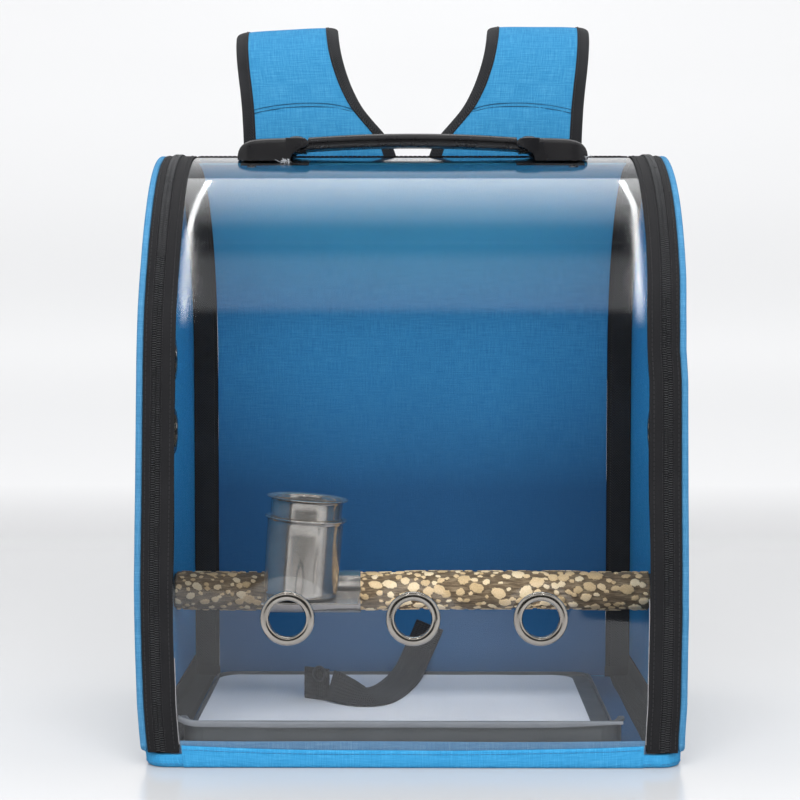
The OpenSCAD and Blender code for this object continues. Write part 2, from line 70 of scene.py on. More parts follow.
def fill_ramp(n, stops):
    e = n.color_ramp.elements
    while len(e) > 1:
        e.remove(e[-1])
    e[0].position = stops[0][0]
    for i, (p, c) in enumerate(stops):
        el = e[0] if i == 0 else e.new(p)
        el.color = (*c, 1) if hasattr(c, "__len__") else (c, c, c, 1)


class Mat:
    """A material with a Principled shader and short ways to add nodes."""

    def __init__(self, name, **sockets):
        self.m = bpy.data.materials.new(name)
        self.m.use_nodes = True
        self.nt = self.m.node_tree
        self.nt.nodes.clear()
        self.out = self.nt.nodes.new("ShaderNodeOutputMaterial")
        self.b = self.nt.nodes.new("ShaderNodeBsdfPrincipled")
        self.nt.links.new(self.b.outputs[0], self.out.inputs[0])
        for k, v in sockets.items():
            self.b.inputs[k.replace("_", " ")].default_value = v

    def node(self, kind, **attrs):
        n = self.nt.nodes.new(kind)
        for k, v in attrs.items():
            setattr(n, k, v)
        return n

    def put(self, socket, value):
        if isinstance(value, bpy.types.NodeSocket):
            self.nt.links.new(value, socket)
        elif value is not None:
            socket.default_value = value

    def coord(self, which="Object"):
        return self.node("ShaderNodeTexCoord").outputs[which]

    def scaled(self, vec, s):
        n = self.node("ShaderNodeVectorMath", operation="MULTIPLY")
        self.put(n.inputs[0], vec)
        n.inputs[1].default_value = s if hasattr(s, "__len__") else (s, s, s)
        return n.outputs[0]

    def xyz(self, vec):
        n = self.node("ShaderNodeSeparateXYZ")
        self.put(n.inputs[0], vec)
        return n.outputs[0], n.outputs[1], n.outputs[2]

    def noise(self, vec, scale=1.0, detail=2.0, rough=0.5, distortion=0.0):
        n = self.node("ShaderNodeTexNoise")
        self.put(n.inputs["Vector"], vec)
        n.inputs["Scale"].default_value = scale
        n.inputs["Detail"].default_value = detail
        n.inputs["Roughness"].default_value = rough
        n.inputs["Distortion"].default_value = distortion
        return n.outputs[0]

    def voronoi(self, vec, scale=1.0, feature="F1", randomness=1.0, out=0):
        n = self.node("ShaderNodeTexVoronoi", feature=feature)
        self.put(n.inputs["Vector"], vec)
        n.inputs["Scale"].default_value = scale
        n.inputs["Randomness"].default_value = randomness
        return n.outputs[out]

    def math(self, op, a, b=None, c=None):
        n = self.node("ShaderNodeMath", operation=op)
        self.put(n.inputs[0], a)
        self.put(n.inputs[1], b)
        if c is not None:
            self.put(n.inputs[2], c)
        return n.outputs[0]

    def maprange(self, v, a, b, c=0.0, d=1.0):
        n = self.node("ShaderNodeMapRange")
        self.put(n.inputs[0], v)
        for i, x in enumerate((a, b, c, d)):
            n.inputs[1 + i].default_value = x
        return n.outputs[0]

    def mix(self, fac, a, b):
        n = self.node("ShaderNodeMix", data_type="RGBA")
        self.put(n.inputs[0], fac)
        self.put(n.inputs[6], a if isinstance(a, bpy.types.NodeSocket) else (*a, 1))
        self.put(n.inputs[7], b if isinstance(b, bpy.types.NodeSocket) else (*b, 1))
        return n.outputs[2]

    def ramp(self, fac, stops):
        n = self.node("ShaderNodeValToRGB")
        self.put(n.inputs[0], fac)
        fill_ramp(n, stops)
        return n.outputs[0]

    def bump(self, height, strength=1.0, distance=0.0002, normal=None):
        n = self.node("ShaderNodeBump")
        n.inputs["Strength"].default_value = strength
        n.inputs["Distance"].default_value = distance
        self.put(n.inputs["Height"], height)
        if normal is not None:
            self.put(n.inputs["Normal"], normal)
        return n.outputs[0]

    def set(self, **links):
        for k, v in links.items():
            self.put(self.b.inputs[k.replace("_", " ")], v)
        return self


def attribute(mt, name):
    n = mt.node("ShaderNodeAttribute", attribute_name=name)
    return n.outputs["Fac"]


# ------------------------------------------------------------------ materials
def fabric(name, base, dark, light, pitch=0.0009, coords="UV", rough=0.85, sheen=0.05, bump=0.00022, painted_light_grade=None):
    """Plain-woven heather cloth: mottled threads both ways and a weave bump."""
    mt = Mat(name, Roughness=rough)
    mt.b.inputs["Sheen Weight"].default_value = sheen
    mt.b.inputs["Sheen Roughness"].default_value = 0.45
    mt.b.inputs["Sheen Tint"].default_value = (0.25, 0.55, 0.95, 1)
    mt.b.inputs["Specular IOR Level"].default_value = 0.12
    co = mt.coord(coords)
    k = 2 * math.pi / pitch
    if coords == "UV":
        u, v, _ = mt.xyz(co)
        warp = mt.noise(mt.scaled(co, (1300, 70, 1)), 1, 3, 0.7)
        weft = mt.noise(mt.scaled(co, (60, 1200, 1)), 1, 3, 0.7)
        h = mt.math("MULTIPLY", mt.math("SINE", mt.math("MULTIPLY", u, k)), mt.math("SINE", mt.math("MULTIPLY", v, k)))
    else:
        u, v, w = mt.xyz(co)
        warp = mt.noise(mt.scaled(co, (1300, 1300, 240)), 1, 2, 0.6)
        weft = mt.noise(mt.scaled(co, (240, 240, 1400)), 1, 2, 0.6)
        s = [mt.math("SINE", mt.math("MULTIPLY", x, k)) for x in (u, v, w)]
        h = mt.math("MULTIPLY", mt.math("ADD", s[0], s[1]), s[2])
    thread = mt.math("ADD", warp, weft)
    big = mt.noise(mt.coord("Object"), 14, 3, 0.55)
    c = mt.ramp(mt.math("MULTIPLY", thread, 0.5), [(0.34, dark), (0.5, base), (0.68, light)])
    c = mt.mix(mt.maprange(big, 0.3, 0.7, 0.0, 0.16), c, dark)
    if painted_light_grade is not None:  # painted light by height: painted shade deepens the cloth towards its foot, and on the back lining a paler blue over the arch stands in for light shining through the thin cloth
        _, _, z = mt.xyz(mt.coord("Object"))
        for z0, z1, f0, f1, painted_light_colour in painted_light_grade:
            c = mt.mix(mt.maprange(z, z0, z1, f0, f1), c, painted_light_colour)
    n1 = mt.bump(mt.math("ADD", h, mt.math("MULTIPLY", thread, 1.4)), 0.8, bump)
    n2 = mt.bump(mt.noise(mt.coord("Object"), 22, 2, 0.5), 0.30, 0.0010, n1)
    return mt.set(Base_Color=c, Normal=n2,
                  Roughness=mt.maprange(thread, 0.7, 1.3, rough + 0.08, rough - 0.08)).m


def tape(name, base=(0.0085, 0.0085, 0.0095), pitch=0.0011, coords="UV", kind="twill", light=(0.024, 0.024, 0.026),
         rough=0.78, spec=0.16):
    """Woven black tape: twill, herringbone or ribbed webbing."""
    mt = Mat(name, Roughness=rough)
    mt.b.inputs["Sheen Weight"].default_value = 0.04
    mt.b.inputs["Sheen Roughness"].default_value = 0.5
    mt.b.inputs["Specular IOR Level"].default_value = spec
    co = mt.coord(coords)
    u, v, w = mt.xyz(co)
    if coords != "UV":
        u = mt.math("ADD", u, v)
        v = w
    k = 2 * math.pi / pitch
    if kind == "twill":
        a = mt.math("ADD", mt.math("MULTIPLY", u, k), mt.math("MULTIPLY", v, k))
        h = mt.math("SINE", a)
    elif kind == "herring":
        tri = mt.math("PINGPONG", u, 0.0022)
        a = mt.math("ADD", mt.math("MULTIPLY", tri, k * 1.2), mt.math("MULTIPLY", v, k))
        h = mt.math("SINE", a)
    else:  # ribs across the webbing with lengthwise threads
        h = mt.math("ADD", mt.math("SINE", mt.math("MULTIPLY", v, k)),
                    mt.math("MULTIPLY", mt.math("SINE", mt.math("MULTIPLY", u, k * 0.62)), 0.7))
    fuzz = mt.noise(mt.scaled(co, (900, 900, 900)), 1, 3, 0.6)
    wear = mt.noise(mt.coord("Object"), 30, 4, 0.6)
    c = mt.mix(mt.maprange(h, -1, 1.2, 0.0, 0.55), base, light)
    c = mt.mix(mt.maprange(wear, 0.45, 0.8, 0.0, 0.35), c, light)
    n1 = mt.bump(mt.math("ADD", h, mt.math("MULTIPLY", fuzz, 0.8)), 0.9, 0.00016)
    n2 = mt.bump(wear, 0.25, 0.0008, n1)
    return mt.set(Base_Color=c, Normal=n2, Roughness=mt.maprange(fuzz, 0.3, 0.7, rough - 0.1, rough + 0.12)).m


def plastic(name, base, light, rough, grain=1800, grain_d=0.00004, coat=0.0, scratch=True, spec=0.5):
    mt = Mat(name, Roughness=rough)
    mt.b.inputs["Coat Weight"].default_value = coat
    mt.b.inputs["Coat Roughness"].default_value = 0.12
    mt.b.inputs["Specular IOR Level"].default_value = spec
    co = mt.coord("Object")
    big = mt.noise(co, 35, 4, 0.6)
    fine = mt.noise(co, grain, 2, 0.5)
    c = mt.mix(mt.maprange(big, 0.35, 0.75, 0.0, 0.5), base, light)
    h = fine
    r = mt.maprange(big, 0.3, 0.7, rough - 0.05, rough + 0.09)
    if scratch:
        s = mt.noise(mt.scaled(co, (60, 900, 900)), 1, 2, 0.4)
        s = mt.maprange(s, 0.66, 0.72, 0.0, 1.0)
        r = mt.math("ADD", r, mt.math("MULTIPLY", s, 0.08))
    return mt.set(Base_Color=c, Roughness=r, Normal=mt.bump(h, 0.5, grain_d)).m


def metal(name, base, dark, rough, brush=(30, 30, 1500), brush_d=0.00002, streak=0.08, metallic=1.0):
    mt = Mat(name, Roughness=rough, Metallic=metallic)
    co = mt.coord("Object")
    b = mt.noise(mt.scaled(co, brush), 1, 3, 0.6)
    smear = mt.noise(co, 60, 4, 0.6)
    c = mt.mix(mt.maprange(smear, 0.4, 0.8, 0.0, 0.6), base, dark)
    r = mt.math("ADD", mt.maprange(b, 0.3, 0.7, rough - streak * 0.5, rough + streak * 0.5),
                mt.maprange(smear, 0.4, 0.8, 0.0, 0.07))
    return mt.set(Base_Color=c, Roughness=r, Normal=mt.bump(b, 0.4, brush_d)).m


BLUE = ((0.042, 0.305, 0.595), (0.026, 0.225, 0.475), (0.090, 0.410, 0.710))
# the straps are a darker copy of the blue fabric: painted shade that offsets the key light on their front faces
SHADED_STRAP_BLUE = ((0.036, 0.217, 0.420), (0.022, 0.160, 0.340), (0.072, 0.295, 0.510))
LINING = ((0.045, 0.270, 0.540), (0.030, 0.200, 0.440), (0.080, 0.350, 0.630))
# painted light on the back lining: painted shade darkens it from 0.27 m down to 0.15 m, and a paler blue above 0.29 m
# is painted light shining through the thin cloth
LINING_PAINTED_LIGHT = ((0.15, 0.27, 0.93, 0.0, (0.022, 0.085, 0.200)), (0.29, 0.36, 0.0, 0.95, (0.110, 0.600, 0.920)))
# the door linings are a paler copy of the lining blue: painted light for light shining through the thin door cloth
LIT_SIDE_LINING = ((0.040, 0.350, 0.700), (0.026, 0.270, 0.570), (0.085, 0.450, 0.800))
m_blue = fabric("blue_heather", *BLUE)
m_strap = fabric("blue_strap_cloth_shaded", *SHADED_STRAP_BLUE)
# the doors are a darker, greyer copy of the blue fabric: painted shade that offsets the strong side light on them
m_door_shaded = fabric("blue_door_cloth_shaded", (0.060, 0.220, 0.400), (0.038, 0.160, 0.315), (0.105, 0.295, 0.490))
m_blue_obj = fabric("blue_heather_3d", *BLUE, coords="Object")
m_lining = fabric("blue_lining", *LINING, painted_light_grade=LINING_PAINTED_LIGHT)
# painted shade darkens the door lining towards its foot
m_side = fabric("blue_side_lining", *LIT_SIDE_LINING, painted_light_grade=((0.02, 0.20, 0.75, 0.0, (0.015, 0.130, 0.300)),))
m_tape = tape("black_zip_tape")
m_bind = tape("black_binding", kind="herring", pitch=0.0020, base=(0.0050, 0.0050, 0.0058), light=(0.040, 0.042, 0.046))
m_web = tape("black_webbing", kind="rib", pitch=0.0016, base=(0.012, 0.012, 0.014), light=(0.040, 0.040, 0.044))
m_tape_obj = tape("black_tape_3d", coords="Object")
m_thread = tape("black_thread", base=(0.02, 0.02, 0.022), light=(0.06, 0.06, 0.065), pitch=0.0004, coords="Object", rough=0.55)
m_strap_line = tape("strap_seam_thread", base=(0.010, 0.075, 0.160), light=(0.030, 0.140, 0.270), pitch=0.0004, coords="Object", rough=0.6)
m_thread_blue = tape("blue_thread", base=(0.03, 0.20, 0.45), light=(0.08, 0.34, 0.65), pitch=0.0004, coords="Object", rough=0.55)
m_coil = plastic("zip_coil_nylon", (0.026, 0.027, 0.029), (0.060, 0.061, 0.065), 0.27, grain=2500)
m_gloss = plastic("handle_plastic", (0.007, 0.007, 0.008), (0.018, 0.017, 0.017), 0.26, grain=2600, grain_d=0.00002, spec=0.50)
m_matte = plastic("moulded_plastic", (0.013, 0.013, 0.014), (0.034, 0.034, 0.036), 0.46, grain=1500, grain_d=0.00006)
# the tray's rim is black plastic painted light grey: a painted highlight along its top edge
m_rim_highlit = plastic("tray_rim_painted_highlight", (0.14, 0.145, 0.16), (0.21, 0.215, 0.23), 0.42, grain=1300, grain_d=0.00005)
m_tray = plastic("tray_plastic", (0.055, 0.058, 0.062), (0.100, 0.104, 0.110), 0.36, grain=1300, grain_d=0.00005)
m_steel = metal("spun_steel", (0.52, 0.474, 0.432), (0.31, 0.278, 0.250), 0.15, brush=(25, 25, 1700), metallic=0.84)
m_nickel = metal("eyelet_nickel", (0.44, 0.41, 0.37), (0.22, 0.20, 0.18), 0.13, brush=(900, 900, 900))
m_zinc = metal("dark_zinc", (0.075, 0.075, 0.08), (0.03, 0.03, 0.032), 0.33, brush=(700, 700, 700))
m_screw = metal("screw_steel", (0.48, 0.47, 0.46), (0.25, 0.24, 0.24), 0.25, brush=(900, 900, 900))


def clear_material():
    mt = Mat("clear_sheet")
    mt.nt.nodes.remove(mt.b)
    co = mt.coord("Object")
    wavy = mt.bump(mt.noise(co, 9, 1, 0.4), 0.10, 0.0006)
    smear = mt.noise(mt.scaled(co, (30, 30, 12)), 1, 4, 0.65)
    gl = mt.node("ShaderNodeBsdfGlossy", distribution="GGX")
    gl.inputs["Color"].default_value = (1, 1, 1, 1)
    mt.put(gl.inputs["Roughness"], mt.maprange(smear, 0.35, 0.75, 0.02, 0.07))
    mt.put(gl.inputs["Normal"], wavy)
    tr = mt.node("ShaderNodeBsdfTransparent")
    mt.put(tr.inputs["Color"], mt.mix(mt.maprange(smear, 0.3, 0.8, 0.0, 1.0), (0.975, 0.985, 0.99), (0.955, 0.97, 0.978)))
    lw = mt.node("ShaderNodeLayerWeight")
    lw.inputs["Blend"].default_value = 0.5
    mt.put(lw.inputs["Normal"], wavy)
    edge = mt.math("POWER", lw.outputs["Facing"], 4.5)
    a = mt.node("ShaderNodeMixShader")
    mt.put(a.inputs[0], mt.math("ADD", mt.math("MULTIPLY", edge, 0.962), 0.038))
    mt.put(a.inputs[1], tr.outputs[0])
    mt.put(a.inputs[2], gl.outputs[0])
    mt.put(mt.out.inputs[0], a.outputs[0])
    return mt.m


def clear_edge_material():
    """The cut edge of the clear sheet, which gathers light."""
    mt = Mat("clear_edge", Roughness=0.25)
    co = mt.coord("Object")
    n = mt.noise(co, 90, 3, 0.5)
    c = mt.mix(n, (0.20, 0.20, 0.21), (0.32, 0.31, 0.32))
    return mt.set(Base_Color=c, Normal=mt.bump(n, 0.3, 0.0002),
                  Roughness=mt.maprange(n, 0.3, 0.7, 0.18, 0.4)).m


def mesh_material():
    """Black air mesh: rows of small rounded holes over a darker layer."""
    mt = Mat("air_mesh", Roughness=0.8)
    mt.b.inputs["Sheen Weight"].default_value = 0.25
    mt.b.inputs["Specular IOR Level"].default_value = 0.25
    co = mt.coord("Object")
    d = mt.voronoi(mt.scaled(co, (300, 300, 380)), 1.0, "DISTANCE_TO_EDGE", 0.25)
    hole = mt.maprange(d, 0.07, 0.24, 0.0, 1.0)
    c = mt.mix(hole, (0.045, 0.046, 0.05), (0.006, 0.006, 0.007))
    fz = mt.noise(co, 1500, 2, 0.5)
    return mt.set(Base_Color=c, Normal=mt.bump(mt.math("SUBTRACT", mt.math("MULTIPLY", fz, 0.3), hole), 0.9, 0.0006),
                  Roughness=mt.maprange(fz, 0.3, 0.7, 0.7, 0.9)).m


def liner_material():
    """Absorbent white liner: soft nonwoven with an embossed dot grid."""
    mt = Mat("liner_nonwoven", Roughness=0.9)
    mt.b.inputs["Sheen Weight"].default_value = 0.2
    mt.b.inputs["Specular IOR Level"].default_value = 0.2
    uv = mt.coord("UV")
    u, v, _ = mt.xyz(uv)
    k = 2 * math.pi / 0.0042
    dots = mt.math("MULTIPLY", mt.math("SINE", mt.math("MULTIPLY", u, k)), mt.math("SINE", mt.math("MULTIPLY", v, k)))
    dots = mt.maprange(dots, 0.55, 0.9, 0.0, 1.0)
    fib = mt.noise(mt.scaled(uv, (700, 700, 1)), 1, 4, 0.7)
    big = mt.noise(uv, 12, 3, 0.5)
    c = mt.mix(mt.maprange(big, 0.3, 0.7, 0, 1), (0.74, 0.735, 0.77), (0.68, 0.68, 0.73))
    c = mt.mix(mt.math("MULTIPLY", dots, 0.25), c, (0.58, 0.585, 0.66))
    h = mt.math("SUBTRACT", fib, mt.math("MULTIPLY", dots, 0.8))
    return mt.set(Base_Color=c, Normal=mt.bump(h, 0.7, 0.0003), Roughness=mt.maprange(fib, 0.3, 0.7, 0.82, 0.95)).m


def wood_material():
    """Knobby branch: brown bark between pale raised oval knots."""
    mt = Mat("knobby_wood", Roughness=0.62)
    mt.b.inputs["Specular IOR Level"].default_value = 0.35
    co = mt.coord("Object")
    knot = attribute(mt, "knot")
    tone = attribute(mt, "tone")
    n = mt.noise(co, 900, 4, 0.65)
    grain = mt.noise(mt.scaled(co, (120, 900, 900)), 1, 4, 0.6)
    ragged = mt.math("ADD", knot, mt.maprange(mt.noise(co, 700, 3, 0.6), 0.2, 0.8, -0.35, 0.35))
    k = mt.maprange(ragged, 0.40, 0.60, 0.0, 1.0)
    bark = mt.ramp(grain, [(0.30, (0.070, 0.045, 0.026)), (0.52, (0.185, 0.125, 0.072)), (0.72, (0.36, 0.265, 0.165))])
    pale = mt.ramp(mt.math("ADD", mt.math("MULTIPLY", n, 0.55), mt.math("MULTIPLY", tone, 0.45)),
                   [(0.22, (0.56, 0.385, 0.195)), (0.50, (0.80, 0.570, 0.325)), (0.78, (0.92, 0.745, 0.500))])
    rim = mt.math("MULTIPLY", k, mt.math("SUBTRACT", 1.0, k))
    c = mt.mix(k, bark, pale)
    c = mt.mix(mt.math("MULTIPLY", rim, 1.6), c, (0.10, 0.065, 0.035))
    # painted shade: the left end of the branch darkens where the cup's shadow falls; the right end is made a little
    # darker too
    x, _, _ = mt.xyz(co)
    c = mt.mix(mt.maprange(x, -0.09, -0.03, 0.55, 0.0), c, (0.045, 0.033, 0.024))
    c = mt.mix(mt.maprange(x, 0.07, 0.12, 0.0, 0.26), c, (0.070, 0.050, 0.032))
    return mt.set(Base_Color=c, Normal=mt.bump(mt.math("ADD", n, grain), 0.7, 0.0004),
                  Roughness=mt.maprange(n, 0.3, 0.7, 0.5, 0.74)).m


m_clear = clear_material()
m_edge = clear_edge_material()
m_mesh = mesh_material()
m_liner = liner_material()
m_wood = wood_material()

# ------------------------------------------------------------------ geometry helpers
HALF_D, WALL_H, ARCH_H, ZIP_X, BAY_X = 130.0, 245.0, 150.0, 160.0, 148.5
_t = np.radians(np.linspace(0, 180, 3001))
_ty, _tz = -HALF_D * np.cos(_t), WALL_H + ARCH_H * np.sin(_t)
_ts = np.concatenate([[0], np.cumsum(np.hypot(np.diff(_ty), np.diff(_tz)))])
ARC = _ts[-1]
LOOP = 2 * WALL_H + ARC


def prof(s):
    """Point and outward normal of the arch profile at length s from the ground in front, over the top, to the ground behind."""
    s = np.atleast_1d(np.asarray(s, float))
    t = np.interp(s - WALL_H, _ts, _t)
    y, z = -HALF_D * np.cos(t), WALL_H + ARCH_H * np.sin(t)
    ny, nz = -np.cos(t) / HALF_D, np.sin(t) / ARCH_H
    ln = np.hypot(ny, nz)
    ny, nz = ny / ln, nz / ln
    z = np.where(s < WALL_H, s, np.where(s > WALL_H + ARC, LOOP - s, z))
    return y, z, ny, nz


def s_at_y(y):
    """Length along the profile where the arch reaches depth y."""
    return WALL_H + np.interp(y, _ty, _ts)


PULL = {-1: ([0, 21, 40, 58, 77, 96, 115, 171, 210, 245, 290, 320, 400], [-1.8, 0.3, 1.6, 2.1, 2.6, 2.9, 3.1, 1.9, 1.25, 0.6, 0.2, -0.5, -1.0]),
        1: ([0, 21, 40, 58, 96, 134, 171, 245, 265, 290, 310, 345, 400], [-0.6, -0.2, 0.9, 1.1, 1.6, 1.2, 0.6, 0.0, -1.2, -0.8, 0.0, 0.4, 1.5])}


def pull(P):
    """The soft sides swell and draw in a little along their front edges, differently on the left and on the right."""
    P = np.array(P, float)
    x, y, z = P[..., 0], P[..., 1], P[..., 2]
    h = np.clip((np.abs(x) - 95) / 55.0, 0, 1)
    h = h * h * (3 - 2 * h)
    f = np.clip((-30 - y) / 95.0, 0, 1)
    f = f * f * (3 - 2 * f)
    d = np.where(x < 0, np.interp(z, *PULL[-1]), np.interp(z, *PULL[1]))
    P[..., 0] = x + np.sign(x) * d * h * f
    return P


def wav(a, b, seed, n=6, lo=0.02, hi=0.09):
    """Smooth repeatable unevenness, about -1 to 1."""
    r = np.random.RandomState(seed)
    out = 0
    for _ in range(n):
        k = r.uniform(lo, hi, 2) * r.choice([-1, 1], 2)
        out = out + np.sin(np.asarray(a) * k[0] + np.asarray(b) * k[1] + r.uniform(0, 6.28)) * r.uniform(0.4, 1)
    return out / n * 1.6


def finish_mesh(name, verts, faces, uvs, mats, face_mats=None, closed=True, sharp=50, smooth=True):
    me = bpy.data.meshes.new(name)
    me.from_pydata([tuple(v) for v in np.asarray(verts, float) * MM], [], faces)
    if uvs is not None:
        layer = me.uv_layers.new(name="UVMap")
        layer.data.foreach_set("uv", np.asarray(uvs, np.float32).ravel() * MM)
    for m in (mats if isinstance(mats, (list, tuple)) else [mats]):
        me.materials.append(m)
    if face_mats is not None:
        me.polygons.foreach_set("material_index", np.asarray(face_mats, np.int32))
    if closed:
        bm = bmesh.new()
        bm.from_mesh(me)
        bmesh.ops.recalc_face_normals(bm, faces=bm.faces)
        bm.to_mesh(me)
        bm.free()
    if smooth:
        me.polygons.foreach_set("use_smooth", np.ones(len(me.polygons), bool))
        if sharp:
            me.set_sharp_from_angle(angle=math.radians(sharp))
    me.update()
    ob = bpy.data.objects.new(name, me)
    bpy.context.scene.collection.objects.link(ob)
    return ob


def loft(name, P, mats, wrap=True, caps=True, keep=None, face_mats=None, closed=True, sharp=50, loop=False):
    """A surface through rings P[i, k] in mm; wrap joins the last point of each ring to the first."""
    P = np.asarray(P, float)
    n, K = P.shape[:2]
    ku = K if wrap else K - 1
    ku_i = np.arange(ku)
    nxt = (ku_i + 1) % K
    seg = np.linalg.norm(np.diff(np.concatenate([P, P[:, :1]], 1) if wrap else P, axis=1), axis=2)
    u = np.concatenate([np.zeros((n, 1)), np.cumsum(seg, 1)], 1)
    mid = P[:, K // 4]
    v = np.concatenate([[0], np.cumsum(np.linalg.norm(np.diff(mid, axis=0), axis=1))])
    rows = n if loop else n - 1
    faces, uvs, fm = [], [], []
    tot_v = v[-1] + (np.linalg.norm(mid[0] - mid[-1]) if loop else 0)
    for i in range(rows):
        j = (i + 1) % n
        vj = tot_v if (loop and j == 0) else v[j]
        for k in range(ku):
            if keep is not None and not keep[i, k]:
                continue
            faces.append((i * K + k, i * K + nxt[k], j * K + nxt[k], j * K + k))
            uvs += [(u[i, k], v[i]), (u[i, k + 1], v[i]), (u[j, k + 1], vj), (u[j, k], vj)]
            fm.append(0 if face_mats is None else int(face_mats[i, k] if face_mats.ndim == 2 else face_mats[k]))
    verts = P.reshape(-1, 3)
    if wrap and caps and not loop:
        for i, order in ((0, range(K)), (n - 1, range(K - 1, -1, -1))):
            idx = [i * K + k for k in order]
            faces.append(tuple(idx))
            c = P[i].mean(0)
            ax = P[i, 0] - c
            ax = ax / (np.linalg.norm(ax) + 1e-9)
            ay = np.cross(ax, (P[i, K // 4] - c))
            ay = np.cross(ay, ax)
            ay = ay / (np.linalg.norm(ay) + 1e-9)
            uvs += [((P[i, k] - c) @ ax, (P[i, k] - c) @ ay) for k in order]
            fm.append(0 if face_mats is None else int(face_mats[i, 0] if face_mats.ndim == 2 else face_mats[0]))
    if keep is not None:  # drop points that no face uses
        used = sorted({a for f in faces for a in f})
        new = {a: b for b, a in enumerate(used)}
        faces = [tuple(new[a] for a in f) for f in faces]
        verts = verts[used]
    return finish_mesh(name, verts, faces, uvs, mats, fm, closed=closed, sharp=sharp)


def rrect(a0, a1, b0, b1, r, n=3, sub_a=0, sub_b=0):
    """Closed rounded rectangle outline, with extra points along its sides."""
    r = min(r, (a1 - a0) / 2 - 1e-6, (b1 - b0) / 2 - 1e-6)
    pts = []
    corners = [(a1 - r, b0 + r, -90), (a1 - r, b1 - r, 0), (a0 + r, b1 - r, 90), (a0 + r, b0 + r, 180)]
    for ci, (cx, cy, ang) in enumerate(corners):
        for i in range(n + 1):
            t = math.radians(ang + 90 * i / n)
            pts.append((cx + r * math.cos(t), cy + r * math.sin(t)))
        nx, nyy, na = corners[(ci + 1) % 4]
        t0, t1 = math.radians(ang + 90), math.radians(na)
        p = (cx + r * math.cos(t0), cy + r * math.sin(t0))
        q = (nx + r * math.cos(t1), nyy + r * math.sin(t1))
        sub = sub_b if ci in (0, 2) else sub_a
        for i in range(1, sub + 1):
            f = i / (sub + 1)
            pts.append((p[0] + (q[0] - p[0]) * f, p[1] + (q[1] - p[1]) * f))
    return np.array(pts)


def hoop(name, sec, s0, s1, mats, step=4.0, shape=None, pulled=True, **kw):
    """A section of (x, inset) points run along the arch profile from s0 to s1. shape(s, x, o) may move them."""
    n = max(2, int(abs(s1 - s0) / step) + 1)
    s = np.linspace(s0, s1, n)
    y, z, ny, nz = prof(s)
    X = np.repeat(sec[None, :, 0], n, 0)
    O = np.repeat(sec[None, :, 1], n, 0)
    if shape is not None:
        X, O = shape(np.repeat(s[:, None], sec.shape[0], 1), X, O)
    P = np.stack([X, y[:, None] - O * ny[:, None], z[:, None] - O * nz[:, None]], 2)
    if pulled:
        P = pull(P)
    return loft(name, P, mats, **kw)


def frames(C, up=None, side=None):
    """Tangent, side and normal along a line of points."""
    C = np.asarray(C, float)
    T = np.gradient(C, axis=0)
    T /= np.linalg.norm(T, axis=1)[:, None]
    if side is not None:
        S = np.asarray(side, float)
        S = S - (S * T).sum(1)[:, None] * T
        S /= np.linalg.norm(S, axis=1)[:, None]
    else:
        U = np.repeat(np.array([up], float), len(C), 0)
        S = np.cross(T, U)
        S /= np.linalg.norm(S, axis=1)[:, None]
    N = np.cross(T, S)
    return T, S, N


def sweep(name, C, S, N, sec, mats, **kw):
    sec = np.asarray(sec, float)
    if sec.ndim == 2:
        sec = np.repeat(sec[None], len(C), 0)
    P = C[:, None] + S[:, None] * sec[..., :1] + N[:, None] * sec[..., 1:]
    return loft(name, P, mats, **kw)


def spline(pts, n):
    """A smooth line through points (rows of any width), centripetal by length."""
    p = np.asarray(pts, float)
    d = np.concatenate([[0], np.cumsum(np.linalg.norm(np.diff(p[:, :3], axis=0), axis=1))])
    m = np.gradient(p, d, axis=0)
    q = np.linspace(0, d[-1], n)
    i = np.clip(np.searchsorted(d, q, side="right") - 1, 0, len(d) - 2)
    h = (d[i + 1] - d[i])[:, None]
    f = ((q - d[i])[:, None]) / h
    return ((2 * f**3 - 3 * f**2 + 1) * p[i] + (f**3 - 2 * f**2 + f) * h * m[i]
            + (-2 * f**3 + 3 * f**2) * p[i + 1] + (f**3 - f**2) * h * m[i + 1])


def lathe(name, profile, mats, matrix=None, segs=72, sharp=40, closed_profile=False):
    """A turned piece: (r, z) points in mm about Z, placed by matrix (in mm)."""
    pr = np.asarray(profile, float)
    a = np.linspace(0, 2 * math.pi, segs, endpoint=False)
    P = np.stack([pr[:, None, 0] * np.cos(a), pr[:, None, 0] * np.sin(a), np.repeat(pr[:, None, 1], segs, 1)], 2)
    if matrix is not None:
        R = np.array(matrix.to_3x3())
        P = P @ R.T + np.array(matrix.translation)
    return loft(name, P, mats, sharp=sharp, loop=closed_profile, caps=not closed_profile)


def join(name, objs):
    bpy.ops.object.select_all(action="DESELECT")
    for o in objs:
        o.select_set(True)
    bpy.context.view_layer.objects.active = objs[0]
    bpy.ops.object.join()
    objs[0].name = name
    objs[0].data.name = name
    return objs[0]


def capsule(length, r, sides=6, flat=1.0):
    """A small thread or tooth along +X, centred: points and faces."""
    xs = [(-length / 2, 0.0), (-length / 2 + r * 0.35, 0.75), (-length / 2 + r, 1.0),
          (length / 2 - r, 1.0), (length / 2 - r * 0.35, 0.75), (length / 2, 0.0)]
    v = [(xs[0][0], 0, 0)]
    for x, f in xs[1:-1]:
        for i in range(sides):
            a = 2 * math.pi * i / sides
            v.append((x, r * f * math.cos(a), r * f * math.sin(a) * flat))
    v.append((xs[-1][0], 0, 0))
    F = []
    for i in range(sides):
        F.append((0, 1 + (i + 1) % sides, 1 + i))
    for rr in range(3):
        b = 1 + rr * sides
        for i in range(sides):
            j = (i + 1) % sides
            F.append((b + i, b + j, b + sides + j, b + sides + i))
    b, e = 1 + 3 * sides, 1 + 4 * sides
    for i in range(sides):
        F.append((b + i, b + (i + 1) % sides, e))
    return np.array(v, float), F


